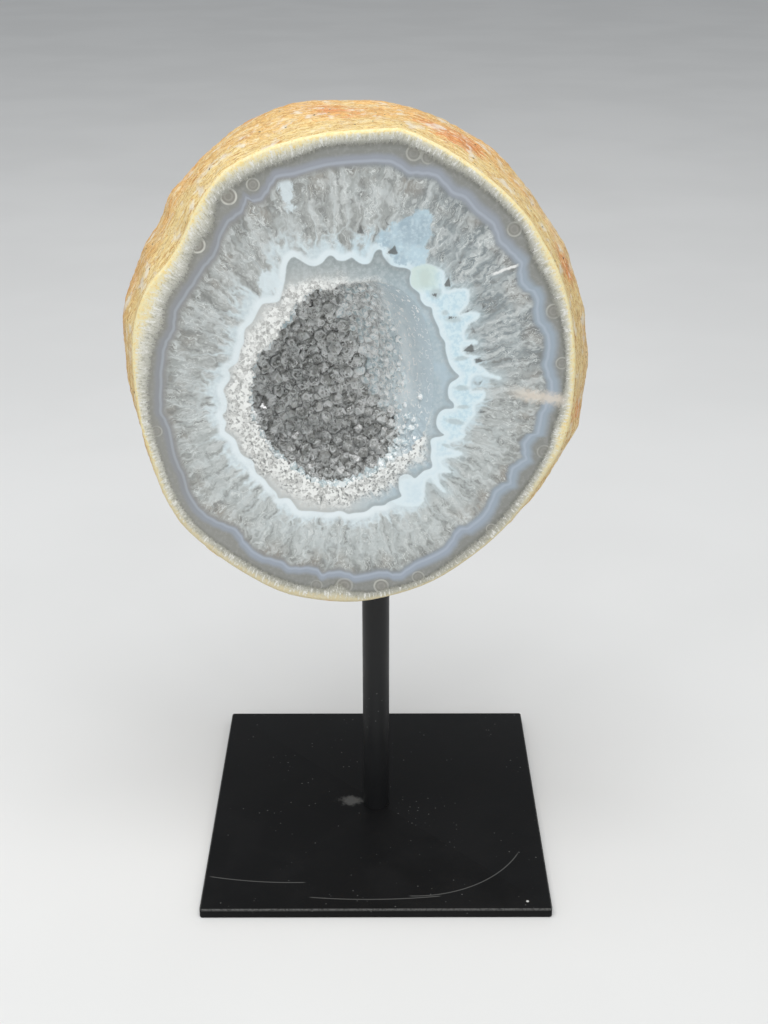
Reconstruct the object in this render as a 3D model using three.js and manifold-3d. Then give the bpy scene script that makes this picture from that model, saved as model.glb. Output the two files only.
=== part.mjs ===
// An agate slice on a display stand: a thick slice sawn from a nodule, with a
// crystal-lined hollow in its polished face, held on a black rod that stands on a
// square steel plate.
//
// Millimetres, +Z up. The origin is the middle of the plate's underside, the rod
// stands on the Z axis, and the polished face looks towards -Y.

import * as THREE from "three";
import { mergeVertices } from "three/addons/utils/BufferGeometryUtils.js";
import Module from "manifold-3d";

const wasm = await Module();
wasm.setup();

// Stand
const PLATE_SIDE = 100;
const PLATE_THICKNESS = 3;
const PLATE_CORNER = 0.8;
const PLATE_EDGE = 0.3;
const ROD_DIAMETER = 8;
const ROD_SIDES = 24;
const ROD_CHAMFER = 0.5;

// The hole drilled up into the stone, and how much wider and deeper it is than the rod
const DRILLED_TOP = 108;
const DRILLED_FROM = 60;
const DRILLED_PLAY = 0.3;

// Stone: two sawn faces, and the widest section between them
const FACE_Y = -24;
const GIRTH_Y = 0;
const BACK_Y = 22;
const BACK_TAPER = 6;
const STONE_CENTRE = { x: -5, z: 151 };
const STONE_STEPS = 108;
const STONE_ROWS_FRONT = 6;
const STONE_ROWS_BACK = 5;

// Rim of the polished face, as x and z, clockwise from the top
const FACE_RIM = [
  [0, 214.2], [6, 214.6], [12, 212.3], [20, 208], [27, 203.2], [33, 198],
  [38, 192.5], [41.5, 187], [45, 181], [47.7, 174], [49.5, 167], [50.6, 160],
  [51, 152], [50.8, 145], [50, 138], [48, 131.5], [44, 124], [38.5, 115],
  [33, 108], [25, 100.5], [15, 93.5], [4, 89.3], [-5, 87.5], [-15, 88],
  [-25, 90.3], [-35, 96], [-45, 104], [-50, 109], [-55, 117.5], [-58.3, 129],
  [-60.3, 138], [-61.2, 147], [-61.3, 157], [-60.5, 165], [-58.7, 171],
  [-55.5, 177], [-51, 182], [-47.5, 187], [-44.5, 193], [-40.5, 199.5],
  [-36, 204.5], [-30, 208], [-22, 211], [-12, 213.3],
];

// Outline of the stone at its widest section
const GIRTH_RIM = [
  [-5, 217.3], [12, 215], [27, 207], [39.3, 196], [48.5, 182.5], [54.5, 167],
  [57, 151], [55.8, 135], [49, 120], [39, 107.5], [27, 96], [12.5, 87],
  [-5, 83.5], [-23, 85], [-38.5, 92.5], [-52.5, 103.5], [-60.5, 119],
  [-64.5, 135], [-66.5, 151], [-65, 167], [-58.7, 182.5], [-50, 197],
  [-38, 208.5], [-22.5, 215.7],
];

// Knobs on the rind: direction in degrees from +X towards +Z, distance behind the
// face, height, and half-widths around and through the stone
const RIND_KNOBS = [
  { at: 167, behind: 13, height: 1.1, around: 6, through: 8 },
  { at: 151, behind: 18, height: 1.0, around: 4, through: 10 },
  { at: 137, behind: 21, height: 0.8, around: 4, through: 9 },
  { at: 116, behind: 12, height: 0.5, around: 8, through: 7 },
  { at: 62, behind: 14, height: 0.6, around: 8, through: 9 },
  { at: 31, behind: 20, height: 0.8, around: 5, through: 8 },
  { at: 2, behind: 12, height: 0.7, around: 5, through: 7 },
  { at: -14, behind: 9, height: 0.9, around: 3, through: 5 },
  { at: -52, behind: 26, height: 1.0, around: 9, through: 10 },
  { at: -98, behind: 18, height: 0.8, around: 7, through: 9 },
  { at: -128, behind: 30, height: 1.1, around: 9, through: 8 },
  { at: -168, behind: 31, height: 1.0, around: 8, through: 7 },
];

// Ripples all over the rind: height, waves around, waves through, and phase
const RIND_RIPPLES = [
  { height: 0.3, around: 7, through: 0.09, phase: 0.6 },
  { height: 0.22, around: 13, through: -0.15, phase: 2.1 },
  { height: 0.15, around: 22, through: 0.24, phase: 4.4 },
];

// Hollow: the rim of its mouth in the polished face, its depth, and its wall from the
// mouth to the floor, as share of the mouth's radius and share of the depth. The left
// side is undercut, and the right side slopes in gently.
const HOLLOW_CENTRE = { x: -9, z: 149 };
const HOLLOW_DEPTH = 25;
const HOLLOW_STEPS = 60;
const HOLLOW_RIM = [
  [-10, 178.5], [-2, 180], [6, 178.5], [12.5, 173], [16, 164], [17.5, 153],
  [17, 144], [14.5, 136], [10.5, 130.5], [5, 127], [0, 123], [-5, 121.5],
  [-10, 119.5], [-17, 121.5], [-23, 125], [-28, 130], [-31.5, 135.5],
  [-33.7, 141], [-34.5, 146.5], [-33.5, 152], [-32.5, 157], [-28.5, 163],
  [-22.5, 170], [-18.8, 175.5],
];
const STEEP_WALL = [
  [1, 0], [1.06, 0.16], [1.09, 0.36], [1.04, 0.58], [0.86, 0.8], [0.54, 0.95],
  [0, 1],
];
const GENTLE_WALL = [
  [1, 0], [0.9, 0.1], [0.79, 0.27], [0.65, 0.5], [0.5, 0.74], [0.29, 0.93],
  [0, 1],
];
const GENTLE_SIDE = 12;

// Crystal crust: a lining on the hollow's wall, and the quartz points that grow on it,
// each at least a spacing away from the others
const CRUST_GAP = 0.3;
const CRUST_THICKNESS = 2.2;
const CRUST_STEPS = 30;
const CRYSTAL_SPACING = 4.6;
const CRYSTAL_TRIES = 1500;
const CRYSTAL_SMALLEST = 1.7;
const CRYSTAL_SPREAD = 1.2;
const CRYSTAL_SHANK = 0.9;
const CRYSTAL_POINT = 1.15;
const CRYSTAL_ROOT = 1.2;
const CRYSTAL_LEAN = 0.5;

const FACE_OVERCUT = 2;
const MERGE_TOLERANCE = 1e-3;

const paint = {
  stone: new THREE.MeshStandardMaterial({
    color: 0xb9bdbc, roughness: 0.3, metalness: 0,
  }),
  crystal: new THREE.MeshStandardMaterial({
    color: 0x9a9d9a, roughness: 0.15, metalness: 0, flatShading: true,
  }),
  blackSteel: new THREE.MeshStandardMaterial({
    color: 0x191a1b, roughness: 0.45, metalness: 0.2,
  }),
};

// A repeatable number from 0 to 1 for each index and stream
function scattered(index, stream) {
  const value = Math.sin(index * 12.9898 + stream * 78.233) * 43758.5453;
  return value - Math.floor(value);
}

// The distance from a centre to a closed outline, as a smooth function of direction
function radiusOf(rim, centre) {
  const knots = rim
    .map(([x, z]) => ({
      angle: Math.atan2(z - centre.z, x - centre.x),
      radius: Math.hypot(x - centre.x, z - centre.z),
    }))
    .sort((a, b) => a.angle - b.angle);
  const count = knots.length;
  const turn = 2 * Math.PI;
  const knot = (i) => {
    const wrapped = ((i % count) + count) % count;
    const turns = Math.floor(i / count);
    return {
      angle: knots[wrapped].angle + turns * turn,
      radius: knots[wrapped].radius,
    };
  };
  const slope = (i) => {
    const before = knot(i - 1);
    const after = knot(i + 1);
    return (after.radius - before.radius) / (after.angle - before.angle);
  };
  return (angle) => {
    let i = knots.findIndex((k) => k.angle > angle);
    i = i < 0 ? count : i;
    const from = knot(i - 1);
    const to = knot(i);
    const span = to.angle - from.angle;
    const t = (angle - from.angle) / span;
    return (
      from.radius * (2 * t ** 3 - 3 * t ** 2 + 1) +
      slope(i - 1) * span * (t ** 3 - 2 * t ** 2 + t) +
      to.radius * (3 * t ** 2 - 2 * t ** 3) +
      slope(i) * span * (t ** 3 - t ** 2)
    );
  };
}

const faceRadius = radiusOf(FACE_RIM, STONE_CENTRE);
const girthRadius = radiusOf(GIRTH_RIM, STONE_CENTRE);
const hollowRadius = radiusOf(HOLLOW_RIM, HOLLOW_CENTRE);

// The smallest turn from one direction to another, in degrees
function turnBetween(a, b) {
  return Math.abs(((((a - b) % 360) + 540) % 360) - 180);
}

// How far the rind stands out from the plain swelling shape
function rindRelief(angle, y) {
  const degrees = THREE.MathUtils.radToDeg(angle);
  const ripples = RIND_RIPPLES.reduce(
    (sum, r) =>
      sum + r.height * Math.sin(r.around * angle + r.through * y + r.phase),
    0,
  );
  const knobs = RIND_KNOBS.reduce((sum, k) => {
    const around = turnBetween(degrees, k.at) / k.around;
    const through = (y - FACE_Y - k.behind) / k.through;
    return sum + k.height * Math.exp(-(around ** 2) - through ** 2);
  }, 0);
  return ripples + knobs;
}

// The stone's outer radius in a direction, at a depth
function stoneRadius(angle, y) {
  const girth = girthRadius(angle);
  if (y < GIRTH_Y) {
    const share = (GIRTH_Y - y) / (GIRTH_Y - FACE_Y);
    const swell = girth - faceRadius(angle);
    const relief = rindRelief(angle, y) * (1 - share ** 4);
    return girth - swell * share ** 2 + relief;
  }
  const share = (y - GIRTH_Y) / (BACK_Y - GIRTH_Y);
  return girth - BACK_TAPER * share ** 2 + rindRelief(angle, y);
}

// Turns a geometry into a manifold-3d solid
function solidOf(geometry) {
  const bare = geometry.index ? geometry.toNonIndexed() : geometry.clone();
  bare.deleteAttribute("normal");
  bare.deleteAttribute("uv");
  const merged = mergeVertices(bare, MERGE_TOLERANCE);
  return new wasm.Manifold(
    new wasm.Mesh({
      numProp: 3,
      vertProperties: new Float32Array(merged.attributes.position.array),
      triVerts: new Uint32Array(merged.index.array),
    }),
  );
}

// Turns a manifold-3d solid back into a geometry
function geometryOf(solid) {
  const mesh = solid.getMesh();
  const positions = new Float32Array(mesh.numVert * 3);
  for (let i = 0; i < mesh.numVert; i++) {
    const start = i * mesh.numProp;
    positions.set(mesh.vertProperties.subarray(start, start + 3), i * 3);
  }
  const geometry = new THREE.BufferGeometry();
  geometry.setAttribute("position", new THREE.BufferAttribute(positions, 3));
  geometry.setIndex(new THREE.BufferAttribute(new Uint32Array(mesh.triVerts), 1));
  geometry.computeVertexNormals();
  return geometry;
}

// A lathe about the Y axis, whose vertices are then moved. Its profile gives the share
// of the radius and a row number, and place returns the vertex for a direction.
function shapedLathe(rows, steps, place) {
  const profile = rows.map((row, i) => new THREE.Vector2(row.share, i));
  const geometry = new THREE.LatheGeometry(profile, steps);
  const position = geometry.attributes.position;
  for (let i = 0; i < position.count; i++) {
    const row = rows[Math.round(position.getY(i))];
    const angle = Math.atan2(position.getZ(i), position.getX(i));
    position.setXYZ(i, ...place(row, angle));
  }
  return geometry;
}

// The whole stone before the hollow and the rod's hole are cut
function stoneBlock() {
  const rows = [{ share: 0, y: FACE_Y }];
  for (let i = 0; i <= STONE_ROWS_FRONT; i++) {
    const share = i / STONE_ROWS_FRONT;
    rows.push({ share: 1, y: THREE.MathUtils.lerp(FACE_Y, GIRTH_Y, share) });
  }
  for (let i = 1; i <= STONE_ROWS_BACK; i++) {
    const share = i / STONE_ROWS_BACK;
    rows.push({ share: 1, y: THREE.MathUtils.lerp(GIRTH_Y, BACK_Y, share) });
  }
  rows.push({ share: 0, y: BACK_Y });
  return solidOf(
    shapedLathe(rows, STONE_STEPS, (row, angle) => {
      const radius = row.share * stoneRadius(angle, row.y);
      return [
        STONE_CENTRE.x + radius * Math.cos(angle),
        row.y,
        STONE_CENTRE.z + radius * Math.sin(angle),
      ];
    }),
  );
}

// A point well inside the hollow, which every wall faces
const hollowMiddle = new THREE.Vector3(
  HOLLOW_CENTRE.x, FACE_Y + 0.35 * HOLLOW_DEPTH, HOLLOW_CENTRE.z,
);

// How gentle the hollow's wall is in a direction, from 0 to 1
function gentleness(angle) {
  const facing = Math.cos(angle - THREE.MathUtils.degToRad(GENTLE_SIDE));
  return THREE.MathUtils.smoothstep(facing, 0, 0.9);
}

// A point on the hollow's wall, moved inwards by an inset. Row is from 0 at the mouth
// to the last row at the floor, and needn't be whole.
function hollowPoint(row, angle, inset) {
  const last = STEEP_WALL.length - 1;
  const from = Math.min(Math.floor(row), last - 1);
  const along = row - from;
  const onWall = (wall, k) =>
    THREE.MathUtils.lerp(wall[from][k], wall[from + 1][k], along);
  const gentle = gentleness(angle);
  const share = THREE.MathUtils.lerp(
    onWall(STEEP_WALL, 0), onWall(GENTLE_WALL, 0), gentle,
  );
  const sunk = THREE.MathUtils.lerp(
    onWall(STEEP_WALL, 1), onWall(GENTLE_WALL, 1), gentle,
  );
  const radius = share * Math.max(hollowRadius(angle) - inset, 0);
  return new THREE.Vector3(
    HOLLOW_CENTRE.x + radius * Math.cos(angle),
    FACE_Y + sunk * (HOLLOW_DEPTH - inset),
    HOLLOW_CENTRE.z + radius * Math.sin(angle),
  );
}

// The space of the hollow as a solid, with its lid in front of the face by an amount
function hollowSpace(inset, lid, steps) {
  const rows = [{ share: 0 }];
  if (lid > 0) {
    rows.push({ share: 1 });
  }
  STEEP_WALL.forEach(([share], i) => rows.push({ share: Math.ceil(share), wall: i }));
  return solidOf(
    shapedLathe(rows, steps, (row, angle) => {
      if (row.wall !== undefined) {
        return hollowPoint(row.wall, angle, inset).toArray();
      }
      const rim = hollowPoint(0, angle, inset);
      return [
        THREE.MathUtils.lerp(HOLLOW_CENTRE.x, rim.x, row.share),
        FACE_Y - lid,
        THREE.MathUtils.lerp(HOLLOW_CENTRE.z, rim.z, row.share),
      ];
    }),
  );
}

// A quartz point: a six-sided shank with a six-sided tip, standing on +Y
function quartzPoint(radius, shank, tip) {
  const profile = [
    new THREE.Vector2(0, -CRYSTAL_ROOT),
    new THREE.Vector2(radius, -CRYSTAL_ROOT),
    new THREE.Vector2(radius, shank),
    new THREE.Vector2(0, shank + tip),
  ];
  return new THREE.LatheGeometry(profile, 6);
}

// Where the quartz points stand: places on the crust, none too near another, with the
// direction that the crust faces there
function crystalPlaces() {
  const inset = CRUST_GAP + CRUST_THICKNESS;
  const last = STEEP_WALL.length - 1;
  const step = 0.05;
  const places = [];
  for (let i = 0; i < CRYSTAL_TRIES; i++) {
    const angle = (scattered(i, 7) * 2 - 1) * Math.PI;
    const row = last * scattered(i, 8);
    const point = hollowPoint(row, angle, inset);
    if (places.some((p) => p.point.distanceTo(point) < CRYSTAL_SPACING)) {
      continue;
    }
    const around = hollowPoint(row, angle + step, inset).sub(point);
    const down = hollowPoint(row + step, angle, inset).sub(point);
    const facing = around.cross(down).normalize();
    if (facing.dot(point.clone().sub(hollowMiddle)) > 0) {
      facing.negate();
    }
    places.push({ point, facing });
  }
  return places;
}

// The quartz points that grow on the crust
function crystals() {
  const up = new THREE.Vector3(0, 1, 0);
  return crystalPlaces().map(({ point, facing }, i) => {
    const lean = new THREE.Vector3(
      scattered(i, 1) - 0.5, scattered(i, 2) - 0.5, scattered(i, 3) - 0.5,
    ).multiplyScalar(CRYSTAL_LEAN);
    const radius = CRYSTAL_SMALLEST + CRYSTAL_SPREAD * scattered(i, 4);
    const shank = CRYSTAL_SHANK * scattered(i, 5);
    const geometry = quartzPoint(radius, shank, radius * CRYSTAL_POINT);
    geometry.rotateY(Math.PI * scattered(i, 6));
    geometry.applyQuaternion(
      new THREE.Quaternion().setFromUnitVectors(up, facing.add(lean).normalize()),
    );
    geometry.translate(point.x, point.y, point.z);
    return solidOf(geometry);
  });
}

// The hole for the rod, from well below the stone to its blind end
function drilledHole() {
  const radius = ROD_DIAMETER / 2 + DRILLED_PLAY;
  const height = DRILLED_TOP - DRILLED_FROM;
  const geometry = new THREE.CylinderGeometry(radius, radius, height, ROD_SIDES);
  geometry.rotateX(Math.PI / 2);
  geometry.translate(0, 0, (DRILLED_FROM + DRILLED_TOP) / 2);
  return solidOf(geometry);
}

function agateSlice() {
  const hollow = hollowSpace(0, FACE_OVERCUT, HOLLOW_STEPS);
  const slice = stoneBlock().subtract(hollow).subtract(drilledHole());
  return new THREE.Mesh(geometryOf(slice), paint.stone);
}

function crystalCrust() {
  const filled = hollowSpace(CRUST_GAP, 0, CRUST_STEPS);
  const space = hollowSpace(
    CRUST_GAP + CRUST_THICKNESS, FACE_OVERCUT, CRUST_STEPS,
  );
  const lining = filled.subtract(space);
  const points = wasm.Manifold.union(crystals()).intersect(filled);
  const crust = lining.add(points);
  const whole = crust
    .decompose()
    .sort((a, b) => b.volume() - a.volume())[0];
  return new THREE.Mesh(geometryOf(whole), paint.crystal);
}

function standRod() {
  const radius = ROD_DIAMETER / 2;
  const length = DRILLED_TOP - DRILLED_PLAY - PLATE_THICKNESS;
  const profile = [
    new THREE.Vector2(0, 0),
    new THREE.Vector2(radius, 0),
    new THREE.Vector2(radius, length - ROD_CHAMFER),
    new THREE.Vector2(radius - ROD_CHAMFER, length),
    new THREE.Vector2(0, length),
  ];
  const rod = new THREE.Mesh(
    new THREE.LatheGeometry(profile, ROD_SIDES).rotateX(Math.PI / 2),
    paint.blackSteel,
  );
  rod.position.set(0, 0, PLATE_THICKNESS);
  return rod;
}

function basePlate() {
  const side = PLATE_SIDE - 2 * PLATE_EDGE;
  const half = side / 2;
  const corner = PLATE_CORNER;
  const outline = new THREE.Shape();
  outline.moveTo(-half + corner, -half);
  outline.lineTo(half - corner, -half);
  outline.absarc(half - corner, -half + corner, corner, -Math.PI / 2, 0);
  outline.lineTo(half, half - corner);
  outline.absarc(half - corner, half - corner, corner, 0, Math.PI / 2);
  outline.lineTo(-half + corner, half);
  outline.absarc(-half + corner, half - corner, corner, Math.PI / 2, Math.PI);
  outline.lineTo(-half, -half + corner);
  outline.absarc(
    -half + corner, -half + corner, corner, Math.PI, 1.5 * Math.PI,
  );
  const geometry = new THREE.ExtrudeGeometry(outline, {
    depth: PLATE_THICKNESS - 2 * PLATE_EDGE,
    bevelThickness: PLATE_EDGE,
    bevelSize: PLATE_EDGE,
    bevelSegments: 1,
    curveSegments: 3,
  });
  geometry.translate(0, 0, PLATE_EDGE);
  return new THREE.Mesh(geometry, paint.blackSteel);
}

const model = new THREE.Group();
const pieces = {
  agate_slice: agateSlice(),
  crystal_crust: crystalCrust(),
  stand_rod: standRod(),
  base_plate: basePlate(),
};
for (const [name, mesh] of Object.entries(pieces)) {
  mesh.name = name;
  model.add(mesh);
}

export default model;
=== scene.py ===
"""Dresses the agate slice and its stand around their packed solids.

The slice is respun as a fine mesh on the skin of its solid, and its banding is measured
from its own outlines into attributes that the procedural finishes read. The hollow's
crust is grown again as more than a thousand small quartz points, and the stand gets its
satin black paint. Pieces are in metres in the solids' own frame: the plate lies on the
floor, the rod stands on the Z axis and the polished face looks towards -Y.
"""

import math

import bmesh
import bpy
import numpy as np
from bpy.props import FloatProperty, FloatVectorProperty, IntProperty
from mathutils import Euler, Matrix, Vector, noise
from mathutils.bvhtree import BVHTree


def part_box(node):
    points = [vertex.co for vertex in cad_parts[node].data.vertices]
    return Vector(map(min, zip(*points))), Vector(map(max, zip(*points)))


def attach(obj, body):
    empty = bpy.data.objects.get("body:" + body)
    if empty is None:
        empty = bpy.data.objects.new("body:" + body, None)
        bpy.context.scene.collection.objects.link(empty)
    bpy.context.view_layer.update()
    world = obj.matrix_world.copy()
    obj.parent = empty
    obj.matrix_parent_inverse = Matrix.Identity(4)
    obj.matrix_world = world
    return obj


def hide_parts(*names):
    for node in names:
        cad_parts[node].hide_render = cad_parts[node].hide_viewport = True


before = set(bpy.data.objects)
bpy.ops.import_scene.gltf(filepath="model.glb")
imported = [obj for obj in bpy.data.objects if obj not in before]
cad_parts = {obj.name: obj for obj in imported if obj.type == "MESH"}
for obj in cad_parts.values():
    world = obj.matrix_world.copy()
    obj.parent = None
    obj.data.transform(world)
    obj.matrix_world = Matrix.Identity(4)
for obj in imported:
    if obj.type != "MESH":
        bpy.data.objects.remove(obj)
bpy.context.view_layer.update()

bl_info = {
    "name": "Agate slice on a stand",
    "version": (1, 0, 0),
    "blender": (4, 5, 0),
    "location": "View3D > Sidebar > Agate",
    "description": "Builds a polished agate slice with a crystal hollow, and its stand",
    "category": "Object",
}

MM = 0.001
TURN = 2 * math.pi

# The slice's places and outlines, in millimetres. A centre is given as x and z

FACE_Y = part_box("agate_slice")[0].y / MM
BACK_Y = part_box("agate_slice")[1].y / MM
STONE_CENTRE = (-5.0, 151.0)
STONE_MIDDLE = (STONE_CENTRE[0], 0, STONE_CENTRE[1])
FIBRES_FROM = (-7, 0, 150)
HOLLOW_CENTRE = (-9.0, 149.0)
HOLLOW_MIDDLE = Vector((HOLLOW_CENTRE[0], -15.25, HOLLOW_CENTRE[1]))
CRUST_WIDTH = 2.5
OUTSIDE = 120.0
JUST_BEHIND = 0.3

# Inner edge of the pale blue band, folded like a ribbon, clockwise from the top left
FOLDED_EDGE = [
    (-21.6, 181.2), (-21, 182.8), (-19.8, 183.8), (-18.7, 183.3), (-17.3, 182.4),
    (-15.8, 181.6), (-14.1, 181.6), (-12.7, 182.4), (-11.8, 183.5), (-11, 184.1),
    (-10, 183.9), (-9.1, 183), (-7.5, 182.8), (-6.4, 183.2), (-5.4, 183.6),
    (-4.5, 182.8), (-2.9, 182), (-1.2, 182.2), (-0.4, 183.5), (0, 184.7),
    (0.9, 185.6), (1.8, 185.4), (2, 184.4), (2.7, 183.2), (4, 181.8), (5.9, 181.2),
    (7.6, 181), (9, 180.2), (8.7, 178.4), (9, 176.6), (10.2, 175.4), (11.2, 174.5),
    (11.5, 172.9), (12.7, 171.5), (14.2, 170.9), (14.5, 169.3), (15.2, 167.5),
    (16.1, 165.6), (16.5, 163.8), (17.7, 162), (17.9, 159.8), (18.4, 157.9),
    (19, 156.1), (20.2, 154.3), (21.5, 153), (20.6, 152), (19.3, 151.1),
    (18.7, 149.3), (19, 147), (20.2, 145.6), (20.1, 144.2), (17.9, 144),
    (16.5, 142.9), (15.9, 141.1), (16, 139.3), (17, 137.7), (18, 136.9),
    (17, 136.4), (15.2, 136.1), (14.4, 135.2), (14.7, 132.9), (14.5, 130.6),
    (15, 128.6), (14.6, 127.4), (12.9, 126.8), (11.6, 125.6), (10.4, 124.6),
    (9.2, 125.6), (7.7, 125.8), (6.4, 124.8), (6.2, 122.8), (6.5, 120.9),
    (7, 119.5), (5.5, 118.6), (3.6, 117.8), (2.5, 116.9), (0.9, 116.7),
    (-0.6, 116.5), (-2, 115.3), (-3.3, 114.8), (-5.6, 114.6), (-7.2, 114.3),
    (-8.5, 115), (-9.8, 115.2), (-11.4, 114.8), (-13.7, 114.8), (-16, 115.1),
    (-17.8, 115.2), (-20.2, 115.4), (-21.3, 116.9), (-22.5, 118.7), (-24, 119),
    (-25.5, 118.9), (-26.1, 120.6), (-27.7, 122.3), (-28.6, 123.8), (-29.6, 125),
    (-30.9, 126), (-31.5, 127.7), (-31.7, 129.2), (-32.7, 130.2), (-34.2, 131),
    (-35.2, 132.3), (-35.7, 134.2), (-36.3, 135.8), (-37.7, 137.1), (-38.8, 138.2),
    (-38.3, 140.3), (-39, 141.7), (-39.1, 142.6), (-38.2, 143.5), (-37.8, 145.8),
    (-38.2, 147.7), (-38.6, 149.3), (-37.8, 150.7), (-36.9, 152), (-36.7, 153.5),
    (-37.1, 154.7), (-36.3, 155.5), (-34.8, 156.6), (-34.2, 158.2), (-33.8, 160.1),
    (-32.8, 162), (-32.7, 164.3), (-32.1, 165.8), (-30.7, 167), (-29.8, 168.5),
    (-28.6, 170.8), (-27.5, 172), (-25.5, 172.2), (-23.6, 172.8), (-22.7, 175.5),
    (-22.1, 177.8), (-21.8, 179.6),
]

# How wide the folded band is, by direction from the hollow in degrees from +X
FOLDED_WIDTH = [
    (-180, 4.2), (-160, 3.6), (-140, 4.4), (-120, 3.6), (-90, 3.2), (-75, 3.8),
    (-60, 6.0), (-45, 4.2), (-30, 4.6), (-15, 6.6), (0, 6.4), (15, 5.6), (30, 5.4),
    (45, 6.0), (60, 5.0), (75, 4.2), (90, 4.6), (105, 4.8), (120, 5.0), (135, 6.4),
    (150, 3.6), (165, 4.6),
]

# Milky clots outside the folded edge, as x, z and radius
CLOTS = [
    (9.4, 189.4, 4.3), (11.6, 193.2, 2.3), (6.4, 189.6, 3.0), (7.4, 185.2, 3.2),
    (10.6, 184.4, 2.6), (3, 188.2, 2.0), (-21.3, 200.8, 1.7), (-20.9, 198.8, 1.5),
    (-20.2, 196, 0.9), (-26, 177.6, 2.8), (11, 189.8, 3.0),
]

# Dark three-cornered gaps: x, z, half-length, half-width, tilt in degrees, depth
GAPS = [
    (4.6, 185.2, 1.9, 1.5, 200, 1.0), (18.1, 177.2, 1.9, 1.1, 80, 1.0),
    (14.9, 174.2, 1.1, 0.8, 170, 0.9), (19.2, 168.4, 1.9, 0.6, 0, 0.8),
    (23.4, 170.2, 2.2, 0.5, 25, 0.7), (27.1, 171.3, 1.1, 1.0, 250, 0.8),
    (24.6, 164.9, 1.9, 1.7, 90, 0.5), (24, 160.2, 2.0, 1.6, 200, 1.0),
    (26.4, 157.1, 2.1, 0.9, 0, 0.9), (27.6, 143.4, 2.6, 1.1, -10, 0.6),
    (26.4, 151, 2.4, 1.5, 40, 0.5),
    (24, 133.6, 3.2, 0.8, -10, 0.35), (20.2, 128.8, 2.6, 1.0, -25, 0.35),
    (-3.4, 190.2, 1.9, 1.6, 90, 0.75), (3.2, 192, 1.6, 0.7, 120, 0.6),
    (-15.4, 198, 1.4, 0.9, 60, 0.5), (-6.4, 199.6, 1.0, 0.8, 30, 0.5),
    (-22.6, 197.4, 2.2, 1.0, 110, 0.4), (17.4, 169.6, 1.0, 0.6, 0, 0.35),
    (-40.4, 153.6, 1.3, 0.8, 60, 0.35), (14.6, 122.6, 2.6, 0.5, 120, 0.35),
    (21.2, 182.4, 1.5, 0.7, 20, 0.6), (-0.6, 193, 1.5, 0.5, 80, 0.35),
]

# Eyes, the little ringed spots by the wall: x, z, ring radius and strength
EYES = [
    (-35, 198.6, 1.9, 1.0), (-29, 201.4, 1.5, 0.6), (-43.2, 186.8, 1.9, 1.0),
    (9.4, 208.8, 1.7, 0.4), (12.8, 207.8, 1.5, 0.3), (34, 190.6, 1.7, 0.5),
    (44.6, 170, 1.8, 0.5), (47.4, 156.4, 1.5, 0.4), (44, 132.2, 1.7, 0.4),
    (-56.4, 138, 1.4, 0.4), (1.6, 92.6, 1.9, 0.6), (-8.4, 92.8, 2.1, 0.8),
    (-16, 92.9, 1.5, 0.4), (11.6, 95.4, 1.6, 0.4), (31, 110, 1.3, 0.4),
]

# How wide the white sugary zone round the hollow is, by direction in degrees
WHITE_WIDTH = [
    (-180, 7.0), (-150, 7.0), (-120, 6.6), (-90, 6.4), (-60, 5.6), (-38, 4.6),
    (-22, 1.0), (0, -3), (30, -3), (55, -1.5), (75, 1), (95, 3), (120, 5.6),
    (150, 6.6),
]

# Depth in from the rim at which the yellow skin turns to pale crust, by direction
SKIN_DEPTH = [
    (-30, 1.1), (-20, 1.6), (-15, 2.3), (-8, 1.2), (0, 1.1), (5, 1.4), (15, 0.8),
    (22, 0.7), (30, 1.6), (40, 1.1), (50, 0.8), (60, 0.5), (85, 0.7), (95, 1.1),
    (105, 1.6), (115, 1.7), (125, 0.8), (130, 1.8), (138, 1.0), (145, 1.6), (150, 2.2),
    (155, 3.0), (160, 3.3), (165, 2.3), (170, 1.6), (180, 0.7), (190, 0.4), (200, 1.0),
    (230, 1.4), (258, 2.0), (265, 2.3), (272, 1.0), (280, 0.6), (315, 0.4),
]

# Depth of the crust's inner edge, where the smoky layer starts, by direction
CRUST_DEPTH = [
    (-30, 2.8), (-20, 3.2), (-14, 3.9), (-6, 3.0), (0, 2.5), (15, 2.6), (25, 3.3),
    (35, 3.9), (45, 2.7), (60, 2.6), (70, 3.1), (95, 2.9), (105, 4.0), (118, 4.2),
    (125, 3.6), (131, 5.6), (136, 4.2), (140, 3.9), (146, 5.1), (155, 5.6), (162, 6.6),
    (167, 5.4), (175, 4.2), (182, 3.2), (190, 2.7), (225, 2.9), (240, 3.3), (255, 3.8),
    (261, 3.6), (265, 5.4), (269, 3.2), (275, 2.5), (288, 2.1), (300, 2.7),
]

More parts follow.
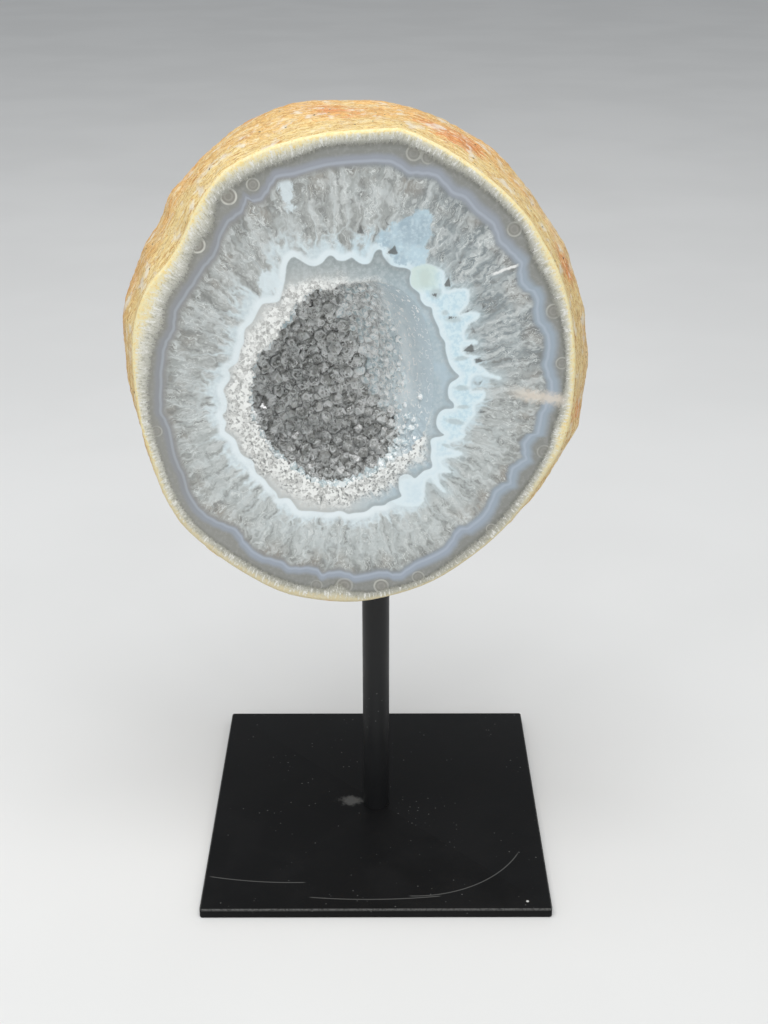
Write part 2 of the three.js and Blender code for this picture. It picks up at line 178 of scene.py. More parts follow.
# Depth of the lavender band's middle, by direction: humps that meet in cusps
LAVENDER_LINE = [
    (-30, 8.2), (-27.2, 7.3), (-25.3, 6.5), (-23.4, 7.9), (-20.5, 9.2), (-17.7, 8.7),
    (-16.3, 7), (-14, 7.2), (-10, 7.3), (-7.7, 6.5), (-4, 5.8), (-2.1, 5.4),
    (0.3, 5.6), (2.7, 6.5), (6, 7.2), (8.8, 6.5), (11.7, 6.1), (14.5, 6.1),
    (16.9, 6.7), (19.7, 7.9), (22.6, 7.7), (25.9, 6.8), (28.3, 7), (30.2, 8.4),
    (32.5, 8.9), (34.9, 8.2), (37.3, 6.7), (39.6, 7.2), (42.5, 7.9), (45.8, 8.4),
    (48.6, 7.4), (50.5, 6.8), (53.4, 7.1), (55.7, 7.3), (60.5, 6.6), (63.8, 7.4),
    (66.6, 6.7), (69, 6.1), (70.9, 6.5), (73.3, 7.5), (76.1, 8.6), (78.9, 7.9),
    (81.8, 7.2), (85.6, 6.8), (95.1, 6.8), (104.5, 7.1), (109.3, 6.5), (111.2, 7.5),
    (113.1, 8.9), (115.4, 9.8), (117.3, 9.4), (118.5, 7.7), (119.7, 8.7), (121.6, 9.4),
    (123.9, 8.9), (126.3, 8.2), (130.6, 8.2), (133.4, 8.7), (135.8, 8.6), (138.2, 8),
    (140.5, 7.4), (144.3, 7.4), (147.6, 7.8), (152.8, 8.4), (156.6, 8.3), (159.5, 8.9),
    (162.3, 9.4), (164.7, 8.9), (167.1, 8.1), (170.4, 7.5), (178.4, 6.7), (186, 5.9),
    (188.8, 5.5), (191.7, 6.3), (194.5, 6.7), (203.1, 6.1), (205.9, 6.3), (209.2, 6.8),
    (215.4, 6.1), (219.2, 6.1), (222.5, 6.5), (225.8, 7.2), (228.6, 8.1), (231.9, 9),
    (234.3, 8.5), (236.2, 7.4), (240, 6.6), (242.8, 6.7), (245.7, 7.6), (248.5, 8.1),
    (250.9, 7.4), (253.3, 8.2), (256.1, 9.1), (258.5, 9), (260.4, 7.5), (262.3, 8.5),
    (265.1, 9), (267.5, 8.5), (269.4, 7.5), (276, 7.7), (278.4, 7.1), (280.3, 5.8),
    (282.2, 5.3), (284.5, 6.1), (287.4, 6.7), (296.8, 6.1), (299.7, 6.8), (302.1, 7.9),
    (303.9, 8.1), (306.3, 6.8), (312, 6.5), (314.4, 6.8), (317.2, 7.5), (320.5, 8.3),
    (323.4, 7.7), (325.5, 6.5), (327.6, 7.6),
]

# Where the clear smoky points end and the milky ones start, as height and x
MILKY_SIDE = [(131, 6), (138, 7.3), (150.7, -0.6), (156, -3.2), (167, -6), (177, -8.6)]

# Outer edge of the folded band on the right, closed again within the band, as x and z
RIGHT_FOLDS = [
    (12.4, 182.2), (15.4, 181.2), (17.3, 180), (17.4, 176.4), (17.8, 175.3),
    (19.2, 175.8), (22.8, 176), (23.7, 174.4), (23.4, 172.2), (22.6, 170.8),
    (21.4, 169.4), (23.6, 170.1), (26.2, 169.6), (26, 168), (24.2, 167), (23.3, 166),
    (22.7, 164.4), (23, 162.7), (25.3, 162.8), (26, 161.6), (24.4, 161), (22.4, 160.6),
    (23, 159), (24.4, 158.7), (26.8, 158.3), (25.2, 157.4), (25.4, 156.5),
    (27.6, 155.4), (29.4, 153.7), (32, 153), (31.8, 151.8), (29, 152.6), (26.2, 153.2),
    (24.8, 152.3), (24.5, 150.6), (25, 149.2), (27.8, 149.4), (28.4, 147.4),
    (27.6, 146), (25.8, 145), (26, 142.6), (24.8, 141), (23.6, 139.4), (23.2, 138.2),
    (23.6, 137), (22.8, 135.7), (20.8, 135), (19.4, 134.4), (19.8, 133), (21.6, 132.6),
    (23, 131.6), (21.4, 130.6), (18.4, 130.2), (17.4, 129.3), (18.2, 128),
    (20.6, 126.4), (18.4, 126.1), (16.6, 125.9), (17.4, 122.8), (19, 120.4),
    (17.6, 120.8), (15.6, 123.2), (14.6, 124.7), (13.5, 124), (13.3, 122.2),
    (13.2, 120), (12.9, 118), (11.4, 116.6), (8, 116.4), (4, 118.2), (6, 124),
    (12, 126), (13, 136), (14, 142), (17, 152), (14, 162), (10, 172), (8.4, 180),
]

# Grey hearts of the hairpin folds on the right: x, z, half-length, half-width, tilt
HAIRPINS = [
    (20.6, 140.6, 2.6, 0.9, -12), (22.2, 149.8, 2.0, 0.8, 0), (15.2, 174.6, 1.6, 1.4, 40),
    (19.6, 167.9, 2.2, 0.9, 0), (21.8, 157.7, 1.9, 0.7, 8), (22.6, 144.6, 1.8, 0.6, 0),
    (18.8, 133.8, 1.6, 0.5, -20), (12.4, 178.6, 2.4, 1.5, 90), (17.5, 169.6, 1.0, 0.8, 0),
]

# Rust patches on the rind: x, y, z, half-length and strength
RUST_PATCHES = [
    (-11, -8, 219, 6, 1.0), (-3, -12, 218, 4, 0.5), (18, -14, 212, 5, 1.0),
    (24, -12, 208, 4.5, 0.9), (12, -12, 215, 3, 0.6), (50, -14, 178, 5, 1.0),
    (47, -16, 184, 3, 0.7), (52, -10, 160, 4, 0.5), (53, -18, 141, 6, 0.7),
    (-13, -22, 86, 3, 0.9), (-52, -6, 195, 5, 0.3), (-60, -12, 172, 4, 0.35),
    (-30, 6, 212, 7, 0.5), (30, 8, 208, 8, 0.5), (-64, 8, 150, 8, 0.4),
    (56, 10, 150, 7, 0.5), (10, 12, 86, 8, 0.5), (-40, 10, 92, 7, 0.4),
]


# Rings of the stone's mesh: the surface, the steps it is cut in, first and last ring
RING_RUNS = [
    ("wall", 15, 1, 14), ("face", 70, 0, 70), ("front edge", 3, 1, 3),
    ("side", 33, 1, 32), ("back edge", 3, 0, 3), ("back", 14, 1, 13),
]

# Jags of the hollow's mouth, coarse and fine: how fine and how high
MOUTH_JAGS = [(13, 1.5), (34, 1.1)]

# Which of the stone's four finishes each surface has
FINISH_OF = {
    "face": 0, "front edge": 0, "side": 1, "back edge": 1, "back": 2, "middle": 2,
    "floor": 3, "wall": 3,
}

# Hair scratches on the plate: the circle's centre and radius, and the span of x
SCRATCHES = [
    ((-24, 73), 111.5, (-49, -20)), ((-2, 105), 150.8, (-19.5, 19)),
    ((11, -9), 35.4, (9, 43)),
]

# Height of a quartz point's shoulder, for a radius of 1
SHOULDER = 1.6

# Tone of the painted highlights in the crystals: their bright veils and curls, crack lines
# and shoulders
PAINTED_HIGHLIGHT = (0.97, 0.98, 0.97)


class AgateStone(bpy.types.PropertyGroup):
    """Sizes and colours of the stone."""

    around: IntProperty(
        name="Steps around", description="Steps of the fine mesh around the stone",
        default=640, min=90, max=1200,
    )
    rim_round: FloatProperty(
        name="Rim rounding", description="Radius of the worn edge between face and rind",
        default=0.8 * MM, unit="LENGTH",
    )
    rind_relief: FloatProperty(
        name="Rind relief", description="Depth of the small lumps and pits of the rind",
        default=0.8 * MM, unit="LENGTH",
    )
    tan: FloatVectorProperty(
        name="Tan", description="Main colour of the rind",
        subtype="COLOR", size=3, default=(0.98, 0.58, 0.2),
    )
    straw: FloatVectorProperty(
        name="Straw", description="Pale yellow of the rind near the face",
        subtype="COLOR", size=3, default=(0.94, 0.74, 0.33),
    )
    rust: FloatVectorProperty(
        name="Rust", description="Red-orange patches of the rind",
        subtype="COLOR", size=3, default=(0.86, 0.3, 0.09),
    )
    lavender: FloatVectorProperty(
        name="Lavender", description="The wavy lavender band near the wall",
        subtype="COLOR", size=3, default=(0.35, 0.37, 0.415),
    )
    smoke: FloatVectorProperty(
        name="Smoke", description="The grey-brown chalcedony between rind and lavender",
        subtype="COLOR", size=3, default=(0.205, 0.205, 0.18),
    )
    quartz: FloatVectorProperty(
        name="Quartz", description="The grey fibrous quartz between the two bands",
        subtype="COLOR", size=3, default=(0.39, 0.405, 0.39),
    )
    pale_blue: FloatVectorProperty(
        name="Pale blue", description="The folded band where it shows on the sawn back",
        subtype="COLOR", size=3, default=(0.68, 0.8, 0.86),
    )


class QuartzPoints(bpy.types.PropertyGroup):
    """Sizes and colours of the crystals in the hollow."""

    largest: FloatProperty(
        name="Largest radius", description="Radius of the largest quartz points",
        default=2.1 * MM, unit="LENGTH",
    )
    smallest: FloatProperty(
        name="Smallest radius", description="Radius of the smallest quartz points",
        default=0.4 * MM, unit="LENGTH",
    )
    tries: IntProperty(
        name="Tries", description="Places that are tried for a quartz point",
        default=14000, min=100,
    )
    # Read only as the colour of the facets painted as glints on the smoky points
    smoky: FloatVectorProperty(
        name="Smoky", description="Tint of the clear points on the hollow's floor",
        subtype="COLOR", size=3, default=(0.78, 0.8, 0.79),
    )
    # Read only as the colour of the facets painted as glints on the milky points
    milky: FloatVectorProperty(
        name="Milky", description="Colour of the pale points by the hollow's mouth",
        subtype="COLOR", size=3, default=(0.9, 0.92, 0.9),
    )


class StandSizes(bpy.types.PropertyGroup):
    """Sizes and colours of the stand."""

    edge: FloatProperty(
        name="Edge rounding", description="Radius on the plate's and rod's edges",
        default=0.3 * MM, unit="LENGTH",
    )
    black: FloatVectorProperty(
        name="Black", description="Satin black paint",
        subtype="COLOR", size=3, default=(0.007, 0.0072, 0.0076),
    )
    dust: FloatVectorProperty(
        name="Dust", description="Dust, scratches and bare metal",
        subtype="COLOR", size=3, default=(0.28, 0.28, 0.27),
    )


class StudioStage(bpy.types.PropertyGroup):
    """Camera, floor and lights."""

    lens: FloatProperty(
        name="Lens", description="Focal length of the camera",
        default=49.2, unit="CAMERA",
    )
    eye: FloatVectorProperty(
        name="Eye", description="Place of the camera",
        subtype="TRANSLATION", size=3, default=(0.00139, -0.36029, 0.27276),
    )
    tilt: FloatProperty(
        name="Tilt", description="Angle of the camera up from straight down",
        subtype="ANGLE", default=math.radians(64.85),
    )
    pan: FloatProperty(
        name="Pan", description="Turn of the camera to the left",
        subtype="ANGLE", default=math.radians(-0.165),
    )
    floor_colour: FloatVectorProperty(
        name="Floor", description="Pale floor",
        subtype="COLOR", size=3, default=(0.8, 0.8, 0.79),
    )


# Material building


class Flow:
    """What a node gives out: a value, a place or a colour. Adding, subtracting or
    multiplying flows adds the node that works it out."""

    def __init__(self, finish, socket):
        self.finish = finish
        self.socket = socket

    def worked(self, operation, other=0.0):
        kind = "ShaderNodeMath"
        if self.socket.type != "VALUE":
            kind = "ShaderNodeVectorMath"
            if isinstance(other, (int, float)):
                other = (other, other, other)
        return self.finish.node(kind, {0: self, 1: other}, operation=operation)

    def __add__(self, other):
        return self.worked("ADD", other)

    def __sub__(self, other):
        return self.worked("SUBTRACT", other)

    def __mul__(self, other):
        return self.worked("MULTIPLY", other)

    def __abs__(self):
        return self.worked("ABSOLUTE")

    def larger(self, other):
        return self.worked("MAXIMUM", other)

    def length(self):
        return self.finish.node(
            "ShaderNodeVectorMath", {0: self}, output=1, operation="LENGTH",
        )

    def split(self):
        """The three parts of a place or colour."""
        made = self.finish.tree.nodes.new("ShaderNodeSeparateXYZ")
        self.finish.fill(made.inputs[0], self)
        return [Flow(self.finish, socket) for socket in made.outputs]

    def ease(self, low, high, first=0.0, last=1.0):
        """A smooth step from first where this is at low to last where it is at high."""
        if low > high:
            low, high, first, last = high, low, last, first
        return self.finish.node(
            "ShaderNodeMapRange",
            {
                "Value": self, "From Min": low, "From Max": high,
                "To Min": first, "To Max": last,
            },
            interpolation_type="SMOOTHSTEP",
        )


class Finish:
    """One procedural material, built node by node."""

    def __init__(self, name):
        self.material = bpy.data.materials.new(name)
        self.material.use_nodes = True
        self.tree = self.material.node_tree
        self.tree.nodes.clear()

    def fill(self, socket, value):
        """Links a socket to a flow, or sets its own value."""
        if isinstance(value, Flow):
            self.tree.links.new(value.socket, socket)
        elif socket.type == "RGBA":
            socket.default_value = (*tuple(value)[:3], 1.0)
        else:
            socket.default_value = value

    def node(self, kind, inputs=(), output=0, **options):
        """Adds a node, sets its options and inputs, and gives one of its outputs."""
        made = self.tree.nodes.new(kind)
        for key, value in options.items():
            setattr(made, key, value)
        for key, value in dict(inputs).items():
            self.fill(made.inputs[key], value)
        return Flow(self, made.outputs[output])

    def mix(self, factor, first, second):
        """Colours mixed by a factor."""
        return self.node(
            "ShaderNodeMix", {0: factor, 6: first, 7: second}, output=2, data_type="RGBA",
        )

    def coats(self, colour, *coats):
        """A colour under coats of others. Each coat has the value that it follows, where
        that is low and high, its strength and its tone."""
        for value, low, high, strength, tone in coats:
            colour = self.mix(value.ease(low, high, 0, strength), colour, tone)
        return colour

    def noise(self, place, scale, detail=2.0, roughness=0.5, distortion=0.0, output=0):
        return self.node(
            "ShaderNodeTexNoise",
            {
                "Vector": place, "Scale": scale, "Detail": detail,
                "Roughness": roughness, "Distortion": distortion,
            },
            output,
        )

    def threads(self, place, scale, width, detail=1.5, roughness=0.5):
        """Thin lines that curl along the middle value of a noise."""
        return abs(self.noise(place, scale, detail, roughness) - 0.5).ease(width, 0)

    def cells(self, place, scale, feature="F1", output=0):
        return self.node(
            "ShaderNodeTexVoronoi", {"Vector": place, "Scale": scale}, output,
            feature=feature,
        )

    def attribute(self, name):
        return self.node("ShaderNodeAttribute", output=2, attribute_name=name)

    def millimetres(self, centre=(0, 0, 0)):
        """Object coordinates in millimetres from a centre."""
        return self.node(
            "ShaderNodeMapping",
            {
                "Vector": self.node("ShaderNodeTexCoord", output=3),
                "Location": [-c for c in centre],
                "Scale": (1 / MM, 1 / MM, 1 / MM),
            },
        )

    def bump(self, height, strength, distance):
        return self.node(
            "ShaderNodeBump",
            {"Strength": strength, "Distance": distance, "Height": height},
        )

    def finish(self, **sockets):
        """Ends the material with a Principled shader and returns the material."""
        shader = self.tree.nodes.new("ShaderNodeBsdfPrincipled")
        for key, value in sockets.items():
            self.fill(shader.inputs[key.replace("_", " ")], value)
        end = self.tree.nodes.new("ShaderNodeOutputMaterial")
        self.tree.links.new(shader.outputs[0], end.inputs[0])
        return self.material


def show(name, mesh, materials):
    """Makes an object of a finished mesh and puts it in the scene."""
    if not mesh.polygons:
        raise RuntimeError(f"{name} came out empty")
    piece = bpy.data.objects.new(name, mesh)
    bpy.context.scene.collection.objects.link(piece)
    for material in materials:
        mesh.materials.append(material)
    return piece


def as_mesh(work, name):
    """Turns a bmesh into a smooth-shaded mesh."""
    mesh = bpy.data.meshes.new(name)
    work.to_mesh(mesh)
    work.free()
    mesh.polygons.foreach_set("use_smooth", np.ones(len(mesh.polygons), bool))
    return mesh


def lathe(name, profile, steps, merge):
    """A closed mesh, spun about Z from a profile of radii and heights."""
    work = bmesh.new()
    chain = [work.verts.new((radius, 0, height)) for radius, height in profile]
    for first, second in zip(chain, chain[1:]):
        work.edges.new((first, second))
    bmesh.ops.spin(
        work, geom=work.verts[:] + work.edges[:], cent=(0, 0, 0), axis=(0, 0, 1),
        dvec=(0, 0, 0), angle=TURN, steps=steps, use_merge=True,
        use_normal_flip=False, use_duplicate=False,
    )
    bmesh.ops.remove_doubles(work, verts=work.verts, dist=merge)
    bmesh.ops.recalc_face_normals(work, faces=work.faces)
    return as_mesh(work, name)


def face_out(work):
    """Turns a closed bmesh's faces outwards."""
    bmesh.ops.recalc_face_normals(work, faces=work.faces)
    if work.calc_volume(signed=True) < 0:
        bmesh.ops.reverse_faces(work, faces=work.faces)


def measured(mesh, name, values, domain="POINT"):
    """Keeps values on a mesh's points or faces, for the finishes to read."""
    made = mesh.attributes.new(name, "FLOAT", domain)
    made.data.foreach_set("value", values.astype(np.float32))


# Measuring the packed solid


def packed(node):
    """A packed solid, which has to be there."""
    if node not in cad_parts:
        raise RuntimeError(f"the packed model has no {node}")
    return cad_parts[node]


def struck(hit):
    """How far a ray went to the solid's skin, which it has to meet."""
    if hit[3] is None:
        raise RuntimeError("a measuring ray missed the stone")
    return hit[3]


def skin_tree(node):
    """A search tree over a packed solid's faces."""
    mesh = packed(node).data
    corners = [v.co / MM for v in mesh.vertices]
    return BVHTree.FromPolygons(corners, [tuple(p.vertices) for p in mesh.polygons])


def rim_radii(tree, centre, y, angles, reach=None):
    """Distances from a centre to the solid's skin, by direction, at one depth.

    With reach the skin is met from that far outside, and otherwise from within."""
    radii = np.zeros(len(angles))
    for i, angle in enumerate(angles):
        out = Vector((math.cos(angle), 0, math.sin(angle)))
        start = Vector((centre[0], y, centre[1]))
        if reach:
            radii[i] = reach - struck(tree.ray_cast(start + out * reach, -out))
        else:
            radii[i] = struck(tree.ray_cast(start, out))
    return radii


def over_hole(radii, y, angles):
    """Carries the skin on over the hole that is drilled for the rod."""
    reach = 7.5
    if abs(y) > reach:
        return radii
    foot_x = STONE_CENTRE[0] + radii * np.cos(angles)
    hole = (np.abs(foot_x) < reach) & (np.sin(angles) < 0)
    return np.interp(angles, angles[~hole], radii[~hole], period=TURN)


def by_direction(pairs, angles):
    """Values given by direction in degrees, eased from one to the next, at any angles."""
    at = np.array([pair[0] for pair in pairs] + [pairs[0][0] + 360.0])
    value = np.array([pair[1] for pair in pairs] + [pairs[0][1]])
    degrees = np.mod(np.degrees(angles) - at[0], 360) + at[0]
    cell = np.clip(np.searchsorted(at, degrees, side="right") - 1, 0, len(pairs) - 1)
    share = (degrees - at[cell]) / (at[cell + 1] - at[cell])
    eased = 0.5 - 0.5 * np.cos(math.pi * share)
    return value[cell] + (value[cell + 1] - value[cell]) * eased


def smooth_loop(points, pieces):
    """A closed smooth line through the points."""
    points = np.array(points, float)
    before = np.roll(points, 1, 0)
    after = np.roll(points, -1, 0)
    beyond = np.roll(points, -2, 0)
    line = []
    for t in np.arange(pieces) / pieces:
        line.append(0.5 * (
            2 * points + (after - before) * t
            + (2 * before - 5 * points + 4 * after - beyond) * t ** 2
            + (3 * points - before - 3 * after + beyond) * t ** 3
        ))
    return np.stack(line, 1).reshape(-1, 2)


def distance_to_line(x, z, line):
    """Shortest distance from each place to a line through points."""
    best = np.full(x.shape, np.inf)
    for (ax, az), (bx, bz) in zip(line, line[1:]):
        run, rise = bx - ax, bz - az
        share = ((x - ax) * run + (z - az) * rise) / (run * run + rise * rise)
        share = np.clip(share, 0, 1)
        away = np.hypot(x - ax - share * run, z - az - share * rise)
        best = np.minimum(best, away)
    return best


def outside_loop(x, z, loop):
    """1 outside a closed line and -1 inside it, for each place."""
    inside = np.zeros(x.shape, bool)
    for (ax, az), (bx, bz) in zip(loop, np.roll(loop, -1, 0)):
        if az == bz:
            continue
        crossing = (az > z) != (bz > z)
        inside ^= crossing & (x < (bx - ax) * (z - az) / (bz - az) + ax)
    return np.where(inside, -1.0, 1.0)


def from_loop(x, z, points, pieces):
    """Distance to a smooth closed line through the points, negative inside it."""
    loop = smooth_loop(points, pieces)
    closed = np.vstack([loop, loop[:1]])
    return distance_to_line(x, z, closed) * outside_loop(x, z, loop)


def nearest_disc(x, z, discs):
    """Distance to the nearest disc's edge, negative inside it."""
    edges = [np.hypot(x - cx, z - cz) - r for cx, cz, r in discs]
    return np.min(edges, axis=0)


def in_oval(x, z, oval):
    """Each place along and across an oval, as shares of its half-length and width."""
    cx, cz, length, width, tilt = oval
    turn = math.radians(tilt)
    along = ((x - cx) * math.cos(turn) + (z - cz) * math.sin(turn)) / length
    across = ((z - cz) * math.cos(turn) - (x - cx) * math.sin(turn)) / width
    return along, across


def nearest_oval(x, z, ovals):
    """Distance to the nearest oval's middle, as a share of its radii."""
    return np.min([np.hypot(*in_oval(x, z, oval)) for oval in ovals], axis=0)


def deepest_gap(x, z):
    """How deep in a three-cornered gap each place is, from 0 outside to the depth."""
    deepest = np.zeros(x.shape)
    for *oval, depth in GAPS:
        along, across = in_oval(x, z, oval)
        slope = math.sin(math.radians(60)) * np.abs(across) + 0.5 * along
        inside = 0.5 - np.maximum(-along, slope)
        deepest = np.maximum(deepest, depth * np.clip(inside * 2.2 + 0.45, 0, 1))
    return deepest


def nearest_eye(x, z):
    """Distance to the nearest eye's middle in ring radii, and that eye's strength."""
    shares = np.stack([np.hypot(x - cx, z - cz) / r for cx, cz, r, _ in EYES])
    strengths = np.array([eye[3] for eye in EYES])
    return shares.min(axis=0), strengths[shares.argmin(axis=0)]


# The stone


def stone_rows():
    """The rows of the stone's spun mesh, from the hollow's floor round to the back."""
    rows = [("floor", 0.0)]
    for kind, steps, first, last in RING_RUNS:
        rows += [(kind, i / steps) for i in range(first, last + 1)]
    return rows + [("middle", 1.0)]


def placed_rows(rows, angles, stone):
    """Places of every row's vertices, in millimetres, as (rows, steps, 3)."""
    tree = skin_tree("agate_slice")
    just_in = 0.03
    rounding = stone.rim_round / MM
    direction = np.stack([np.cos(angles), np.sin(angles)], 1)
    rim = rim_radii(tree, STONE_CENTRE, FACE_Y + just_in, angles, OUTSIDE)
    back = rim_radii(tree, STONE_CENTRE, BACK_Y - just_in, angles, OUTSIDE)
    wall = rim_radii(tree, HOLLOW_CENTRE, FACE_Y + just_in, angles)
    jagged = [
        sum(
            noise.noise(Vector((math.cos(a), math.sin(a), layer)) * fineness) * height
            for layer, (fineness, height) in enumerate(MOUTH_JAGS)
        )
        for a in angles
    ]
    ragged = np.clip(by_direction(WHITE_WIDTH, angles) / 4, 0.1, 1)
    mouth = wall - CRUST_WIDTH + np.clip(jagged, -1, 1.4) * ragged
    mouth_place = np.array(HOLLOW_CENTRE) + mouth[:, None] * direction
    rim_place = np.array(STONE_CENTRE) + (rim - rounding)[:, None] * direction
    placed = np.zeros((len(rows), len(angles), 3))
    for number, (kind, share) in enumerate(rows):
        if kind in ("floor", "wall"):
            placed[number] = wall_ring(tree, share, angles, wall)
            continue
        turn = share * math.pi / 2
        y = BACK_Y
        radius = (back - rounding) * (1 - share)
        if kind == "front edge":
            y = FACE_Y + rounding * (1 - math.cos(turn))
            radius = rim - rounding * (1 - math.sin(turn))
        elif kind == "side":
            y = FACE_Y + rounding + (BACK_Y - FACE_Y - 2 * rounding) * share
            radius = rim_radii(tree, STONE_CENTRE, y, angles, OUTSIDE)
            radius = over_hole(radius, y, angles) - rind_pits(angles, y, stone)
        elif kind == "back edge":
            y = BACK_Y - rounding * (1 - math.sin(turn))
            radius = back - rounding * (1 - math.cos(turn))
        plane = np.array(STONE_CENTRE) + radius[:, None] * direction
        if kind == "face":
            y = FACE_Y
            plane = mouth_place + (rim_place - mouth_place) * share
        depth = np.full(len(angles), y)
        placed[number] = np.stack([plane[:, 0], depth, plane[:, 1]], 1)
    return placed, rim, mouth


def mouth_point(angle, radius):
    """A point just behind the face by the hollow's mouth."""
    return Vector((
        HOLLOW_CENTRE[0] + radius * math.cos(angle), FACE_Y + JUST_BEHIND,
        HOLLOW_CENTRE[1] + radius * math.sin(angle),
    ))


def wall_ring(tree, share, angles, wall):
    """One ring of the hollow's wall, at a share of the way from its floor to its mouth."""
    inset = CRUST_WIDTH * 0.92
    return np.array([
        on_wall(tree, mouth_point(angle, radius), share, inset)
        for angle, radius in zip(angles, wall)
    ])


def on_wall(tree, rim, share, inset):
    """A place on the hollow's wall, inset from the solid's own wall."""
    down = Vector((0, 1, 0))
    out = (rim - HOLLOW_MIDDLE).normalized()
    towards = down.slerp(out, share) if share < 1 else out
    reach = struck(tree.ray_cast(HOLLOW_MIDDLE, towards))
    return HOLLOW_MIDDLE + towards * (reach - inset)


def rind_pits(angles, y, stone):
    """Depth of the rind's lumps and pits below the solid's skin."""
    depth = stone.rind_relief / MM
    mean_radius = 60
    twist = 0.012 * y
    fading = 3
    pits = []
    for angle in angles + twist:
        place = Vector((mean_radius * math.cos(angle), mean_radius * math.sin(angle), y))
        lumps = noise.fractal(place * 0.16, 1.0, 2.0, 4)
        grain = noise.fractal(Vector((place.x, place.y, place.z * 2.2)) * 0.7, 1, 2, 2)
        pits.append(0.5 + 0.45 * lumps + 0.25 * grain)
    fade = np.clip((y - FACE_Y) / fading, 0, 1) * np.clip((BACK_Y - y) / fading, 0, 1)
    return depth * np.clip(np.array(pits), 0, 1.4) * fade


def measured_bands(placed, rows, angles, rim, mouth):
    """What the finishes read: how far each vertex is from each mark, in millimetres."""
    kinds = np.array([kind for kind, share in rows])
    front = np.isin(kinds, ["face", "front edge"])
    x, z = placed[front][..., 0], placed[front][..., 2]
    direction = np.arctan2(z - STONE_CENTRE[1], x - STONE_CENTRE[0])
    inward = np.interp(direction, angles, rim, period=TURN)
    inward -= np.hypot(x - STONE_CENTRE[0], z - STONE_CENTRE[1])
    inward *= np.where(kinds[front] == "face", 1, 0)[:, None]
    skin = by_direction(SKIN_DEPTH, direction)
    crust = by_direction(CRUST_DEPTH, direction)
    within = (inward - skin) / (crust - skin)
    folded = from_loop(x, z, FOLDED_EDGE, 3)
    from_mouth = np.hypot(x - HOLLOW_CENTRE[0], z - HOLLOW_CENTRE[1]) - mouth
    mouth_turn = np.arctan2(z - HOLLOW_CENTRE[1], x - HOLLOW_CENTRE[0])
    eye, eye_strength = nearest_eye(x, z)
    far = 30
    shares_off = 9
    bands = {
        "from_rim": (inward, 0),
        "crust": (np.where(within < 0, (inward / skin - 1) * 0.6, within), -0.6),
        "lavender": (inward - by_direction(LAVENDER_LINE, direction), 0),
        "folded": (folded, far),
        "veil": (folded / by_direction(FOLDED_WIDTH, mouth_turn), shares_off),
        "white_zone": (by_direction(WHITE_WIDTH, mouth_turn) - from_mouth, -20),
        "right_folds": (from_loop(x, z, RIGHT_FOLDS, 2), far),
        "hairpin": (nearest_oval(x, z, HAIRPINS), shares_off),
        "clot": (nearest_disc(x, z, CLOTS), far),
        "gap": (deepest_gap(x, z), 0),
        "eye": (eye, shares_off),
        "eye_strength": (eye_strength, 0),
    }
    whole = {}
    for name, (values, elsewhere) in bands.items():
        whole[name] = np.full(placed.shape[:2], float(elsewhere))
        whole[name][front] = values
    whole["rust"] = sum(
        strength * np.exp(-(
            (placed[..., 0] - px) ** 2 + (placed[..., 1] - py) ** 2 / 1.5
            + (placed[..., 2] - pz) ** 2
        ) / size ** 2)
        for px, py, pz, size, strength in RUST_PATCHES
    )
    behind = np.isin(kinds, ["back", "middle", "back edge"])
    away = np.hypot(
        placed[behind][..., 0] - STONE_CENTRE[0],
        placed[behind][..., 2] - STONE_CENTRE[1],
    )
    whole["from_rim"][behind] = away[0] - away
    return whole


def build_stone(stone):
    """The stone's mesh, placed ring by ring, with its bands and the finish of each face."""
    rows = stone_rows()
    steps = stone.around
    angles = np.arange(steps) * TURN / steps
    last = len(rows) - 1
    profile = [(0 if row in (0, last) else 1, row) for row in range(len(rows))]
    mesh = lathe("agate_slice_skin", profile, steps, 1e-5)
    co = np.empty(len(mesh.vertices) * 3)
    mesh.vertices.foreach_get("co", co)
    co = co.reshape(-1, 3)
    row = np.rint(co[:, 2]).astype(int)
    step = np.rint(np.arctan2(co[:, 1], co[:, 0]) / TURN * steps).astype(int) % steps
    placed, rim, mouth = placed_rows(rows, angles, stone)
    mesh.vertices.foreach_set("co", (placed[row, step] * MM).ravel())
    for name, values in measured_bands(placed, rows, angles, rim, mouth).items():
        measured(mesh, name, values[row, step])
    row_finish = np.array([FINISH_OF[kind] for kind, share in rows])
    starts = np.array([p.loop_start for p in mesh.polygons])
    corners = np.empty(len(mesh.loops), int)
    mesh.loops.foreach_get("vertex_index", corners)
    highest = row_finish[np.maximum.reduceat(row[corners], starts)]
    lowest = row_finish[np.minimum.reduceat(row[corners], starts)]
    wall = FINISH_OF["wall"]
    mesh.polygons.foreach_set("material_index", np.where(lowest == wall, wall, highest))
    mesh.update()
    work = bmesh.new()
    work.from_mesh(mesh)
    face_out(work)
    work.to_mesh(mesh)
    work.free()
    return mesh


def radial_place(finish, centre, around, along):
    """Coordinates for fibres that radiate from a centre, with no seam."""
    place = finish.millimetres(centre)
    flat = place * (1, 0, 1)
    turned = (flat.worked("NORMALIZE") * around).split()
    return finish.node(
        "ShaderNodeCombineXYZ",
        {0: turned[0], 1: flat.length() * along, 2: turned[2]},
    ), place


